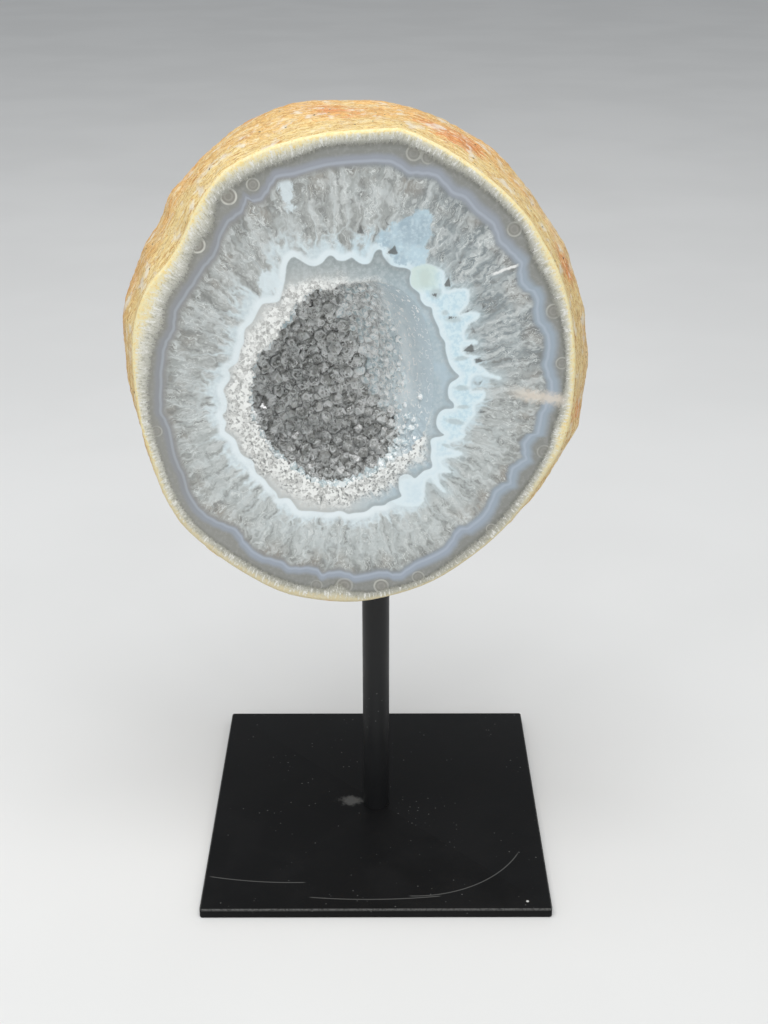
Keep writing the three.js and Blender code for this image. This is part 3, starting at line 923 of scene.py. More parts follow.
class FaceFields:
    """What the parts of the polished face's finish have in common."""

    def __init__(self, f):
        self.fibres, self.place = radial_place(f, FIBRES_FROM, 60, 0.17)
        self.x, self.z = self.place.split()[::2]
        drift = f.noise(self.place, 0.3, output=1)
        self.bent = self.fibres + drift * 5
        self.plumes = radial_place(f, FIBRES_FROM, 9.5, 0.085)[0] + drift * 0.9
        self.grain = f.noise(self.place, 2.4, 3, 0.7)
        self.fine = f.noise(self.place, 0.95, 4, 0.62)
        self.soft = f.noise(self.place, 0.13, 2)
        self.left = self.x.ease(14, -14)
        self.low = self.z.ease(16, -30)
        self.jag = (self.fine - 0.5) * 2.6
        self.between = f.cells(self.plumes, 1.0, "DISTANCE_TO_EDGE")
        self.folded = f.attribute("folded")
        self.outside = self.folded.ease(-0.1, 0.25)


def quartz_zone(f, stone, has):
    """Fibrous quartz: soft plumes that fan out from the hollow, darker by the wall,
    with milky seams between them, fine curling threads and a few sparks."""
    depth = f.attribute("lavender")
    upper_right = has.x.ease(4, 30) * has.z.ease(-8, 14)
    dark = f.mix(upper_right, (0.28, 0.285, 0.265), (0.225, 0.25, 0.255))
    full = f.mix(upper_right, stone.quartz, (0.285, 0.325, 0.335))
    full = f.mix(has.low, full, (0.49, 0.525, 0.515))
    base = f.mix(depth.ease(0.8, 8.5), dark, full)
    brown = has.soft.ease(0.45, 0.65, 0, 0.5) * depth.ease(9, 3)
    base = f.mix(brown, base, (0.4, 0.36, 0.31))
    plume = f.noise(has.plumes, 2.6, 3, 0.55)
    fibre = f.noise(has.bent, 0.5, 2.5, 0.5)
    base = f.coats(
        base,
        (plume, 0.45, 0.68, 0.5, (0.62, 0.65, 0.64)),
        (plume, 0.47, 0.3, 0.55, (0.23, 0.24, 0.235)),
        (fibre, 0.5, 0.66, 0.6, (0.66, 0.69, 0.68)),
        (fibre, 0.46, 0.32, 0.55, (0.22, 0.225, 0.215)),
    )
    seam = has.between.ease(0.12, 0, 0, 0.6) * has.folded.ease(13, 1, 0.4, 1)
    base = f.mix(seam, base, (0.68, 0.74, 0.745))
    curls = f.threads(has.bent, 0.42, 0.02)
    curls = curls.larger(f.threads(has.plumes, 4.2, 0.02, 2.5) * 0.9)
    lit = f.noise(has.place, 0.25, 2).ease(0.38, 0.6)
    base = f.mix(curls * lit * 0.75, base, (0.8, 0.83, 0.81))
    return f.coats(base, (has.grain, 0.63, 0.74, 0.5, (0.9, 0.9, 0.87)))


def inner_zone(f, has):
    """Between folded band and hollow: pale grey left, grey on top, blue on the right,
    and a sugary zone of small pale facets by the hollow's mouth."""
    colour = f.mix(has.x.ease(-8, 14), (0.66, 0.67, 0.645), (0.43, 0.53, 0.575))
    colour = f.coats(
        colour,
        (has.z, 22, 34, 0.85, (0.3, 0.35, 0.355)),
        (has.fine, 0.36, 0.7, 0.4, (0.68, 0.73, 0.74)),
        (has.grain, 0.6, 0.75, 0.35, (0.82, 0.85, 0.85)),
    )
    cloudy = has.soft.ease(0.5, 0.62) * has.x.ease(6, 14, 0, 0.6)
    colour = f.mix(cloudy, colour, (0.5, 0.62, 0.69))
    sugar = f.attribute("white_zone") + (has.grain - 0.5) * 3.5 + (has.soft - 0.5) * 5
    sugar = sugar.ease(-1.5, 2.5)
    bit = f.cells(has.place, 1.15, output=1).split()[0]
    frost = f.mix(bit.ease(0.1, 0.8), (0.45, 0.45, 0.43), (0.98, 0.99, 0.96))
    frost = f.coats(frost, (has.grain, 0.4, 0.62, 0.6, (0.96, 0.97, 0.94)))
    # Painted shade in the pits of the sugary zone, stronger lower down
    pits = f.noise(has.place, 1.3, 3, 0.6).ease(0.455, 0.36, 0, 0.85)
    frost = f.mix(pits * has.z.ease(10, -18, 0.55, 1), frost, (0.15, 0.155, 0.15))
    return f.mix(sugar * 0.92, colour, frost), sugar


def folded_band(f, has, colour):
    """The folded band: a crisp inner edge with a dark line, feathering outwards
    between the quartz plumes."""
    pale = f.mix(has.left, (0.66, 0.84, 0.92), (0.75, 0.84, 0.86))
    pale = f.mix(has.low, pale, (0.82, 0.91, 0.935))
    greyer = f.mix(0.35, pale, (0.45, 0.55, 0.6))
    feather = (f.noise(has.bent, 0.4, 3, 0.55) - 0.5) * 0.9
    seams = has.between.worked("MINIMUM", 0.4) * 2.2
    reach = f.attribute("veil") * 0.75 + feather + seams
    inside = has.folded.ease(-0.25, 0.3)
    veil = reach.ease(1.2, 0.55, 0, 0.85) * inside
    colour = f.mix(veil, colour, f.mix(has.fine.ease(0.35, 0.65), greyer, pale))
    ribbon = has.folded.ease(2.4, 1.0) * inside * has.soft.ease(0.25, 0.5, 0.55, 0.95)
    colour = f.mix(ribbon, colour, f.mix(0.5, pale, (0.9, 0.96, 0.98)))
    line = has.folded.ease(0.12, -0.2) * has.folded.ease(-1.5, -0.35)
    return f.mix(line * has.x.ease(-10, 10, 0.25, 0.45), colour, (0.3, 0.33, 0.335))


def right_folds(f, has, colour):
    """On the right the band is crumpled into hairpins: a pale mass with a ragged outer
    edge, brighter along both edges and grey in the hearts of the folds."""
    edge = f.attribute("right_folds") + has.jag * 0.35
    mass = f.mix(has.fine.ease(0.38, 0.62), (0.6, 0.78, 0.86), (0.74, 0.89, 0.94))
    mass = f.coats(mass, (has.z, -6, -26, 0.7, (0.78, 0.88, 0.92)))
    bright = edge.ease(-1.6, -0.5).larger(has.folded.ease(2.2, 0.6))
    mass = f.mix(bright * 0.7, mass, (0.82, 0.92, 0.95))
    hairpin = f.attribute("hairpin") + has.jag * 0.3
    mass = f.coats(mass, (hairpin, 1.35, 0.45, 0.7, (0.5, 0.58, 0.59)))
    haze = edge.ease(2.6, 0.2, 0, 0.35) * has.outside
    colour = f.mix(haze, colour, (0.6, 0.72, 0.76))
    cover = edge.ease(0.35, -0.45, 0, 0.96) * has.outside
    colour = f.mix(cover, colour, mass)
    green = has.z.ease(24, 27) * has.z.ease(34, 31)
    green = green * has.x.ease(13, 17) * has.x.ease(24, 21)
    return f.mix(green * cover * 0.75, colour, (0.66, 0.78, 0.71))


def clots_and_gaps(f, has, colour):
    """Milky clots with ragged edges, and the dark gaps between the folds."""
    torn = (f.noise(has.bent, 0.7, 3, 0.6) - 0.5) * 2.5
    ragged = f.attribute("clot") + has.jag + torn
    milk = f.mix(has.soft.ease(0.35, 0.6), (0.385, 0.515, 0.6), (0.55, 0.71, 0.79))
    milk = f.coats(milk, (has.fine, 0.42, 0.7, 0.6, (0.72, 0.85, 0.9)))
    whiter = has.x.ease(6, -6).larger(has.z.ease(-16, -26))
    milk = f.mix(whiter * 0.85, milk, (0.8, 0.88, 0.9))
    colour = f.mix(ragged.ease(0.7, -0.5, 0, 0.85) * has.outside, colour, milk)
    gap = f.attribute("gap") + has.jag * 0.3
    return f.coats(colour, (gap, 0.3, 0.75, 0.85, (0.13, 0.135, 0.13)))


def wall_layers(f, stone, has, colour):
    """The lavender band, brightest at its middle, and the smoky layer outside it."""
    band = f.attribute("lavender")
    tone = f.mix(has.x.ease(-14, 32), (0.305, 0.315, 0.33), (0.365, 0.43, 0.495))
    top = has.z.ease(24, 44) * has.x.ease(-34, -12)
    tone = f.mix(top * 0.8, tone, stone.lavender)
    tone = f.coats(tone, (has.z, -26, -46, 0.8, (0.37, 0.42, 0.495)))
    smoke = f.mix(has.x.ease(-12, -40), (0.28, 0.285, 0.265), (0.31, 0.31, 0.285))
    dark = f.mix(has.x.ease(-20, -48), stone.smoke, (0.28, 0.275, 0.245))
    smoke = f.mix(f.attribute("crust").ease(1.05, 1.75), dark, smoke)
    smoke = f.coats(smoke, (has.fine, 0.45, 0.68, 0.3, (0.42, 0.42, 0.4)))
    under = f.mix(has.left, (0.285, 0.31, 0.325), (0.315, 0.315, 0.305))
    colour = f.coats(
        colour, (band, 2.6, 1.2, 0.85, under), (band, -0.2, -1.3, 1, smoke),
    )
    spread = (band + (has.soft - 0.5) * 0.8) * has.x.ease(5, 35, 1, 0.72)
    colour = f.mix(spread.ease(-2.0, -0.3) * spread.ease(1.5, 0.5), colour, tone)
    line = band.ease(-0.2, 0.35) * band.ease(0.95, 0.5)
    return f.mix(line * 0.28, colour, (0.6, 0.66, 0.74))


def eyes(f, has, colour):
    """Eyes in the smoky layer: a thin pale ring round a brown heart."""
    eye = f.attribute("eye")
    strength = f.attribute("eye_strength")
    lit = f.noise(has.place, 0.3, 1).ease(0.35, 0.6, 0.35, 1)
    marks = [
        (eye.ease(1.0, 0.8, 0, 0.7), (0.29, 0.275, 0.24)),
        (abs(eye - 0.5).ease(0.16, 0.05, 0, 0.25), (0.55, 0.54, 0.48)),
        (abs(eye - 1).ease(0.17, 0.07, 0, 0.8) * lit, (0.72, 0.71, 0.64)),
    ]
    for mark, tone in marks:
        colour = f.mix(mark * strength, colour, tone)
    return colour


def rim_crust(f, stone, has, colour):
    """The crust: yellow skin at the rim, then cream, then grey grains that end in a
    ragged, streaky inner edge."""
    streaks = f.noise(has.fibres * (1.5, 2.2, 1.5), 1.0, 3, 0.65)
    ragged = (streaks - 0.5) * 1.5 + (has.grain - 0.5) * 1.1
    depth = f.attribute("crust") + ragged
    crust = f.mix(depth.ease(0, 0.5), (0.84, 0.78, 0.56), (0.6, 0.59, 0.51))
    crust = f.coats(
        crust,
        (depth, 0.4, 1.0, 1, (0.34, 0.34, 0.3)),
        (has.z, -8, -44, 0.45, (0.38, 0.37, 0.31)),
        (has.x, -22, -50, 0.35, (0.84, 0.82, 0.72)),
        (streaks, 0.52, 0.64, 0.75, (0.95, 0.94, 0.88)),
        (streaks, 0.47, 0.36, 0.6, (0.26, 0.26, 0.22)),
        (has.grain, 0.55, 0.68, 0.6, (0.93, 0.92, 0.85)),
        (has.grain, 0.46, 0.34, 0.5, (0.22, 0.22, 0.18)),
    )
    straw = f.mix(has.fine.ease(0.34, 0.6), stone.straw, (0.93, 0.84, 0.52))
    straw = f.coats(
        straw,
        (has.fine, 0.58, 0.7, 0.7, (0.84, 0.55, 0.19)),
        (has.grain, 0.56, 0.7, 0.5, (0.97, 0.93, 0.74)),
        (has.grain, 0.44, 0.32, 0.4, (0.5, 0.36, 0.16)),
        (has.z, -6, -44, 0.75, (0.68, 0.6, 0.41)),
        (f.attribute("rust"), 0.25, 0.8, 1, stone.rust),
    )
    colour = f.coats(colour, (depth, 1.2, 0.95, 1, crust), (depth, 0.12, -0.35, 1, straw))
    return colour, depth.ease(1.1, 0.7)


def small_marks(f, has, colour):
    """A peach smear and a white splinter on the right."""
    smear = abs(has.z + 2.4 + (has.x - 48) * 0.16) + has.jag * 1.3
    smear = smear.ease(2.6, 0.2) * has.x.ease(39, 47, 0, 0.8) * has.x.ease(57, 54)
    colour = f.mix(smear, colour, (0.78, 0.7, 0.6))
    off = abs(has.z - 29.4 - (has.x - 36) * 0.37) + has.jag * 0.45
    splinter = off.ease(0.5, 0.15) * has.x.ease(35.4, 36.8) * has.x.ease(42.8, 41.4, 0, 0.9)
    return f.mix(splinter, colour, (0.93, 0.93, 0.91))


def polished_face(stone):
    """The polished face: rind, chalcedony, lavender band, fibrous quartz, folded band
    and the sugary zone round the hollow, in that order inwards."""
    f = Finish("polished agate")
    has = FaceFields(f)
    inner, sugar = inner_zone(f, has)
    colour = f.mix(has.outside, inner, quartz_zone(f, stone, has))
    colour = folded_band(f, has, colour)
    colour = right_folds(f, has, colour)
    colour = clots_and_gaps(f, has, colour)
    colour = wall_layers(f, stone, has, colour)
    colour = eyes(f, has, colour)
    colour, crusty = rim_crust(f, stone, has, colour)
    colour = small_marks(f, has, colour)
    rough = crusty.larger(sugar).ease(0, 1, 0.24, 0.6)
    height = has.grain * rough.ease(0.24, 0.6)
    return f.finish(
        Base_Color=colour, Roughness=rough, IOR=1.54, Specular_IOR_Level=0.3,
        Normal=f.bump(height, 0.5, 0.25 * MM),
    )


def tan_rind(stone):
    """The nodule's own skin: tan and straw with rust patches, fine slanting streaks,
    pale cream patches and black specks."""
    f = Finish("tan rind")
    place = f.millimetres(STONE_MIDDLE)
    x, y, z = place.split()
    wobble = f.noise(place, 0.12, 3)
    slanted = f.node(
        "ShaderNodeVectorRotate",
        {"Vector": place, "Angle": y * 0.022 + wobble * 0.35},
        rotation_type="Y_AXIS",
    )
    streaks = slanted * (0.2, 1.5, 0.2) + f.noise(place, 0.3, output=1) * 2.5
    hatch = f.noise(streaks, 1.3, 5, 0.7)
    lines = f.threads(streaks, 0.6, 0.03, 4, 0.7)
    cloud = f.noise(place, 0.06, 3, 0.55)
    mottle = f.noise(place, 0.28, 5, 0.65)
    grain = f.noise(place, 1.5, 4, 0.65)
    colour = f.mix(cloud.ease(0.4, 0.6), stone.tan, (0.9, 0.61, 0.23))
    colour = f.coats(
        colour,
        (mottle, 0.5, 0.66, 0.75, (0.92, 0.74, 0.42)),
        (mottle, 0.46, 0.34, 0.85, (0.72, 0.34, 0.09)),
        # Darker orange towards the left side and paler towards the right side
        (x, -46, -58, 0.5, (0.74, 0.39, 0.11)),
        (x, 36, 52, 0.6, (1.0, 0.78, 0.42)),
    )
    edge = y + (mottle - 0.5) * 16
    front = (edge + (cloud - 0.5) * 34).ease(-12, -18.5, 0, 0.9) * z.ease(-20, 30, 0.6, 1)
    colour = f.mix(front.larger(edge.ease(-20, -23, 0, 0.9)), colour, stone.straw)
    rusty = f.attribute("rust") + (f.noise(streaks, 0.8, 4, 0.65) - 0.5) * 2.6
    colour = f.coats(
        colour,
        (rusty, 0.3, 0.85, 0.9, stone.rust),
        (hatch, 0.48, 0.37, 0.85, (0.6, 0.27, 0.07)),
        (hatch, 0.52, 0.62, 0.85, (1.0, 0.85, 0.54)),
    )
    colour = f.mix(lines * 0.55, colour, (0.42, 0.17, 0.04))
    colour = f.coats(
        colour,
        (f.noise(place, 0.2, 5, 0.6), 0.53, 0.66, 0.7, (0.95, 0.89, 0.76)),
        (grain, 0.42, 0.3, 0.4, (0.42, 0.24, 0.1)),
    )
    speck = f.cells(place, 0.42).ease(0.17, 0.08) * f.noise(place, 0.15, 1).ease(0.5, 0.56)
    colour = f.mix(speck, colour, (0.05, 0.04, 0.035))
    height = hatch * 0.8 + grain * 0.7 - lines * 0.1
    return f.finish(
        Base_Color=colour, Roughness=0.7, IOR=1.5,
        Normal=f.bump(height, 0.9, 0.5 * MM),
    )


def sawn_back(stone):
    """The back, sawn and left matt: the same order of layers, seen through saw haze."""
    f = Finish("sawn agate")
    fibres, place = radial_place(f, STONE_MIDDLE, 46, 0.2)
    rim = f.attribute("from_rim") + (f.noise(fibres, 0.16, 3) - 0.5) * 4
    fine = f.noise(place, 1.2, 4, 0.6)
    thread = f.noise(fibres, 1.0, 4, 0.62, 0.6)
    quartz = f.mix(thread.ease(0.4, 0.62), (0.38, 0.385, 0.37), (0.62, 0.63, 0.61))
    heart = f.mix(fine.ease(0.35, 0.65), (0.5, 0.54, 0.55), (0.72, 0.75, 0.74))
    crust = f.mix(fine.ease(0.4, 0.62), (0.5, 0.49, 0.44), (0.85, 0.84, 0.77))
    colour = f.coats(
        quartz,
        (rim, 36, 38, 1, heart),
        (abs(rim - 35), 2.4, 1.2, 0.85, stone.pale_blue),
        (rim, 9.3, 8.7, 1, stone.lavender),
        (rim, 6.6, 5.8, 1, stone.smoke),
        (rim, 3.8, 3.1, 1, crust),
        (rim, 1.7, 1.1, 1, stone.straw),
    )
    marks = f.noise(place * (0.03, 0.03, 1.1), 1.3, 3, 0.6)
    return f.finish(
        Base_Color=f.mix(0.3, colour, (0.6, 0.6, 0.58)), Roughness=0.62, IOR=1.54,
        Normal=f.bump(marks, 0.5, 0.15 * MM),
    )


def hollow_wall():
    """What shows between the crystals: grey deep in the hollow, frosty by its mouth and
    on the right the same pale blue as the face that runs into it, darkened towards the mouth
    as painted shade against the light it catches there, with white curls painted as
    highlights."""
    f = Finish("hollow wall")
    place = f.millimetres((FIBRES_FROM[0], FACE_Y, FIBRES_FROM[2]))
    x, y, z = place.split()
    fine = f.noise(place, 0.9, 4, 0.65)
    grain = f.noise(place, 2.4, 3, 0.7)
    soft = f.noise(place, 0.22, 2)
    blue = f.mix(soft.ease(0.36, 0.62), (0.66, 0.76, 0.8), (0.8, 0.89, 0.92))
    blue = f.coats(
        # Painted shade: the blue darker towards the mouth
        blue, (fine, 0.4, 0.66, 0.4, (0.93, 0.96, 0.96)), (y, 10, 1, 0.85, (0.45, 0.55, 0.6)),
    )
    deep = f.mix(fine.ease(0.36, 0.66), (0.42, 0.43, 0.425), (0.86, 0.87, 0.86))
    frost = f.mix(grain.ease(0.4, 0.6), (0.5, 0.5, 0.47), (0.92, 0.93, 0.9))
    colour = f.mix(y.ease(8, 2), deep, frost)
    right = (x + (fine - 0.5) * 6 - y * 0.25).ease(2, 9) * z.ease(-24, -15)
    colour = f.mix(right, colour, blue)
    colour = f.coats(colour, (grain, 0.62, 0.74, 0.5, (0.92, 0.94, 0.93)))
    # Painted highlights: white curls
    curl = abs(f.cells(place, 0.62) - 0.42).ease(0.1, 0.03) * x.ease(26, 15, 0, 0.95)
    curl = curl * f.noise(place, 0.8, 2).ease(0.5, 0.57)
    return f.finish(
        Base_Color=f.mix(curl, colour, (0.98, 0.99, 0.98)), Roughness=0.35, IOR=1.54,
        Normal=f.bump(fine, 0.6, 0.4 * MM),
    )


class AGATE_OT_cut_slice(bpy.types.Operator):
    """Makes the agate slice with its rind, its banded face and its hollow"""

    bl_idname = "agate.cut_slice"
    bl_label = "Cut the agate slice"

    def execute(self, context):
        stone = context.scene.agate_stone
        finishes = [
            polished_face(stone), tan_rind(stone), sawn_back(stone), hollow_wall(),
        ]
        piece = show("agate_stone", build_stone(stone), finishes)
        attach(piece, "root")
        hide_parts("agate_slice")
        return {"FINISHED"}


# The crystal crust


def quartz_template(seed):
    """One quartz point of radius 1 on the XY plane, as vertices and faces."""
    random = np.random.default_rng(seed)
    work = bmesh.new()
    bmesh.ops.create_circle(work, cap_ends=True, segments=6, radius=1)
    raised = bmesh.ops.extrude_face_region(work, geom=work.faces[:])["geom"]
    top = [part for part in raised if isinstance(part, bmesh.types.BMVert)]
    bmesh.ops.translate(work, verts=top, vec=(0, 0, SHOULDER))
    lid = [part for part in raised if isinstance(part, bmesh.types.BMFace)]
    tip = bmesh.ops.poke(work, faces=lid)["verts"]
    lean = random.uniform(-0.28, 0.28, 2)
    bmesh.ops.translate(work, verts=tip, vec=(*lean, random.uniform(0.85, 1.1)))
    face_out(work)
    bmesh.ops.triangulate(work, faces=work.faces)
    corners = np.array([v.co for v in work.verts])
    faces = np.array([[v.index for v in face.verts] for face in work.faces])
    work.free()
    return corners, faces


def mouth_sites(tree, random):
    """Places of the larger pale points on the left and lower edge of the mouth."""
    count = 70
    angles = np.radians(random.uniform(100, 315, count))
    radii = rim_radii(tree, HOLLOW_CENTRE, FACE_Y + JUST_BEHIND, angles)
    sites = []
    for angle, radius in zip(angles, radii):
        share = random.uniform(0.9, 0.99)
        place = on_wall(tree, mouth_point(angle, radius), share, CRUST_WIDTH)
        size = random.uniform(0.7, 1.4)
        sites.append((place, wall_normal(tree, place), size, share))
    return sites


def crystal_sites(points, random):
    """Where the quartz points stand: largest first, each clear of those before it."""
    tree = skin_tree("agate_slice")
    tries = points.tries
    closest = 0.68
    angles = random.uniform(-math.pi, math.pi, tries)
    radii = rim_radii(tree, HOLLOW_CENTRE, FACE_Y + JUST_BEHIND, angles)
    shares = random.uniform(0, 1, tries)
    largest, smallest = points.largest / MM, points.smallest / MM
    sizes = smallest + (largest - smallest) * random.uniform(0, 1, tries) ** 2.4
    kept = []
    kept_places = np.empty((tries, 3))
    kept_sizes = np.empty(tries)
    for angle, radius, share, size in zip(angles, radii, shares, np.sort(sizes)[::-1]):
        if size > 0.9 and share > 0.82:
            continue
        place = on_wall(tree, mouth_point(angle, radius), share, CRUST_WIDTH)
        beyond = beyond_smoky(place)
        if beyond > 0 and not 0.8 < size < 1.8 - 0.05 * beyond:
            continue
        if beyond > 3 + 10 * random.random():
            continue
        count = len(kept)
        gaps = np.linalg.norm(kept_places[:count] - np.array(place), axis=1)
        if (gaps < closest * (kept_sizes[:count] + size)).any():
            continue
        kept_places[count] = place
        kept_sizes[count] = size
        kept.append((place, wall_normal(tree, place), size, share))
    return kept + mouth_sites(tree, random)


def beyond_smoky(place):
    """How far right of the smoky points' side of the hollow a place is."""
    deeper = place[1] - FACE_Y
    height = place[2] + 0.47 * deeper
    heights, sides = zip(*MILKY_SIDE)
    return place[0] - np.interp(height, heights, sides)


def wall_normal(tree, place):
    """The direction that the hollow's wall faces by a place near it."""
    near = tree.find_nearest(place)
    facing = (place - near[0]).normalized()
    inwards = (HOLLOW_MIDDLE - place).normalized()
    return (facing * 0.6 + inwards * 0.4).normalized()


def build_crust(points):
    """All the quartz points in one mesh, each with its tone, its shoulder for the painted
    highlight and a value per facet for painted shade and glints.
    """
    random = np.random.default_rng(11)
    templates = [quartz_template(seed) for seed in range(8)]
    by_mouth = 0.88
    front = FACE_Y + 0.02
    corners, faces, finish, tones, shoulders, facets = [], [], [], [], [], []
    count = 0
    for place, normal, size, share in crystal_sites(points, random):
        shape, sides = templates[random.integers(len(templates))]
        axis = (normal + Vector(random.uniform(-0.42, 0.42, 3))).normalized()
        turn = axis.to_track_quat("Z", "Y").to_matrix()
        spin = Matrix.Rotation(random.uniform(0, TURN), 3, "Z")
        pale = share > by_mouth or beyond_smoky(place) > random.uniform(-2, 2)
        height = random.uniform(0.6, 1.05) * (0.6 if pale and share < by_mouth else 1)
        squash = Matrix.Diagonal((1, random.uniform(0.75, 1), height))
        moved = shape * size @ np.array(turn @ spin @ squash).T
        moved += np.array(place) - np.array(axis) * size * 0.75
        moved[:, 1] = np.maximum(moved[:, 1], front)
        corners.append(moved)
        faces.append(sides + count)
        count += len(shape)
        finish.append(np.full(len(sides), int(pale)))
        tones.append(np.full(len(shape), random.random()))
        shoulders.append(np.abs(shape[:, 2] - SHOULDER) < 0.01)
        facets.append(random.random(len(sides)))
    mesh = bpy.data.meshes.new("quartz_points")
    mesh.from_pydata(np.concatenate(corners) * MM, [], np.concatenate(faces))
    mesh.polygons.foreach_set("material_index", np.concatenate(finish))
    measured(mesh, "tone", np.concatenate(tones))
    measured(mesh, "shoulder", np.concatenate(shoulders))
    # A value per facet, read as painted shade and painted glints
    measured(mesh, "facet", np.concatenate(facets), "FACE")
    mesh.update()
    return mesh


def clear_quartz(name, colour, cloudy, deep, glint_facet_share, transmission, roughness):
    """Quartz that light passes through: cloudy swirls and dark depths, facets darkened at
    random as painted shade and a few painted light as glints, and painted highlights in
    places: thin bright veils, crack lines and curls for light caught inside it, and bright
    shoulders."""
    f = Finish(name)
    place = f.millimetres()
    tone = f.attribute("tone")
    swirl = f.noise(place, 0.75, 4, 0.62, 0.6)
    bright = 1 - glint_facet_share
    tint = f.coats(
        f.mix(swirl.ease(0.38, 0.62), deep, cloudy),
        (tone, 0.2, 1, 0.6, cloudy),
        (f.noise(place, 0.11, 2), 0.5, 0.36, 0.55, deep),
        # Painted shade on the facets with low values, and painted glints on the few highest
        (f.attribute("facet"), 0.5, 0, 0.75, deep),
        (f.attribute("facet"), bright, bright + 0.08, 0.8, colour),
    )
    # Painted highlights: bright veils, shoulder outlines and crack lines, shown only where
    # this noise lets them
    lit = f.noise(place, 0.45, 2).ease(0.4, 0.54)
    veil = abs(f.noise(place, 0.9, 2, 0.5, 0.8) - 0.5).ease(0.065, 0.015, 0, 0.9)
    shoulder = f.attribute("shoulder").ease(0.68, 0.92, 0, 0.95)
    crack_glints = f.cells(place, 1.0, "DISTANCE_TO_EDGE").ease(0.16, 0.05, 0, 0.9)
    for mark in (veil, shoulder, crack_glints * tone.ease(0.5, 0.75)):
        tint = f.mix(mark * lit, tint, PAINTED_HIGHLIGHT)
    # Darker towards the bottom of the hollow
    tint = f.coats(tint, (place.split()[2], 138, 130, 0.3, deep))
    # Painted highlights: white curls
    curl = abs(f.cells(place, 0.55) - 0.4).ease(0.14, 0.06, 0, 0.95)
    curl = curl * f.noise(place, 0.7, 2).ease(0.47, 0.56)
    return f.finish(
        Base_Color=f.mix(curl, tint, PAINTED_HIGHLIGHT), Roughness=roughness, IOR=1.544,
        Transmission_Weight=transmission,
    )


class AGATE_OT_grow_crystals(bpy.types.Operator):
    """Grows the crust of quartz points that lines the hollow"""

    bl_idname = "agate.grow_crystals"
    bl_label = "Grow the crystal crust"

    def execute(self, context):
        points = context.scene.quartz_points
        finishes = [
            # The fifth value is the share of facets painted as glints
            clear_quartz("smoky quartz", points.smoky, (0.8, 0.8, 0.77),
                         (0.2, 0.2, 0.188), 0.16, 0.2, 0.03),
            clear_quartz("milky quartz", points.milky, (0.8, 0.89, 0.91),
                         (0.46, 0.56, 0.59), 0.3, 0.05, 0.04),
        ]
        packed("crystal_crust")
        piece = show("crystal_points", build_crust(points), finishes)
        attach(piece, "root")
        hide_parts("crystal_crust")
        return {"FINISHED"}


# The stand


def satin_black(stand, name, plate):
    """Satin black paint with dust. The plate also has its marks and a chip."""
    f = Finish(name)
    place = f.millimetres()
    grain = f.noise(place, 1.6, 3, 0.6)
    cloud = f.noise(place, 0.05, 3, 0.6)
    black = stand.black if plate else [2 * part for part in stand.black]
    colour = f.mix(cloud.ease(0.4, 0.65, 0, 0.1), black, (0.03, 0.03, 0.031))
    speck = f.cells(place, 0.5).ease(0.13, 0.07)
    lint = f.cells(place, 1.5).ease(0.1, 0.05)
    marks = [
        speck * f.noise(place, 0.14, 2).ease(0.5, 0.62, 0, 0.35),
        lint * f.noise(place, 0.3, 2).ease(0.52, 0.68, 0, 0.22),
    ]
    if plate:
        marks += plate_marks(f, place, grain)
    for mark in marks:
        colour = f.mix(mark, colour, stand.dust)
    if plate:
        chip = (place - (43.2, -46.7, 3)).length()
        colour = f.coats(colour, (chip, 0.5, 0.3, 0.8, (0.7, 0.7, 0.68)))
    return f.finish(
        Base_Color=colour, Roughness=cloud.ease(0.35, 0.65, 0.36, 0.46), IOR=1.5,
        Specular_IOR_Level=0.08 if plate else 0.3,
        Normal=f.bump(grain, 0.35, 0.05 * MM),
    )


def plate_marks(f, place, grain):
    """Where the plate turns lighter: its upper edges, and dust and bare metal in three hair
    scratches and a smear by the rod's foot."""
    x, y, z = place.split()
    # The upper edges a little lighter
    border = abs(x).larger(abs(y)).ease(49.5, 49.85) * z.ease(2.2, 2.75)
    marks = [border * grain.ease(0.3, 0.6, 0.1, 0.35)]
    for centre, radius, span in SCRATCHES:
        marks.append(plate_arc(f, x, y, centre, radius, span) * z.ease(2.7, 2.9))
    smear = ((place - (-8, 0.4, 3)) * (0.2, 0.34, 0.3)).length()
    smear = smear + (f.noise(place, 0.5, 4, 0.6) - 0.5) * 1.6
    return marks + [smear.ease(1.0, 0.3, 0, 0.3)]


def plate_arc(f, x, y, centre, radius, span):
    """A hair scratch on the plate along a circle's arc between two values of x."""
    away = f.node("ShaderNodeCombineXYZ", {0: x - centre[0], 1: y - centre[1]})
    near = abs(away.length() - radius).ease(0.22, 0.1, 0, 0.28) * y.ease(0, -8)
    return near * x.ease(span[0], span[0] + 1.5) * x.ease(span[1], span[1] - 1.5)


def build_plate(stand):
    """The square plate with its edges eased."""
    low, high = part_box("base_plate")
    corner_round = 0.8 * MM
    work = bmesh.new()
    bmesh.ops.create_cube(work, size=1)
    bmesh.ops.scale(work, verts=work.verts, vec=high - low)
    bmesh.ops.translate(work, verts=work.verts, vec=(low + high) / 2)
    upright = [
        e for e in work.edges
        if abs(e.verts[0].co.z - e.verts[1].co.z) > 0.5 * (high.z - low.z)
    ]
    bmesh.ops.bevel(
        work, geom=upright, offset=corner_round, offset_type="OFFSET", segments=4,
        profile=0.5, affect="EDGES", material=-1,
    )
    rims = [
        e for e in work.edges
        if abs(e.verts[0].co.z - e.verts[1].co.z) < 1e-6
        and len(e.link_faces) == 2
        and e.calc_face_angle(0) > 1
    ]
    bmesh.ops.bevel(
        work, geom=rims, offset=stand.edge, offset_type="OFFSET", segments=3,
        profile=0.5, affect="EDGES", material=-1,
    )
    bmesh.ops.recalc_face_normals(work, faces=work.faces)
    return as_mesh(work, "plate_skin")


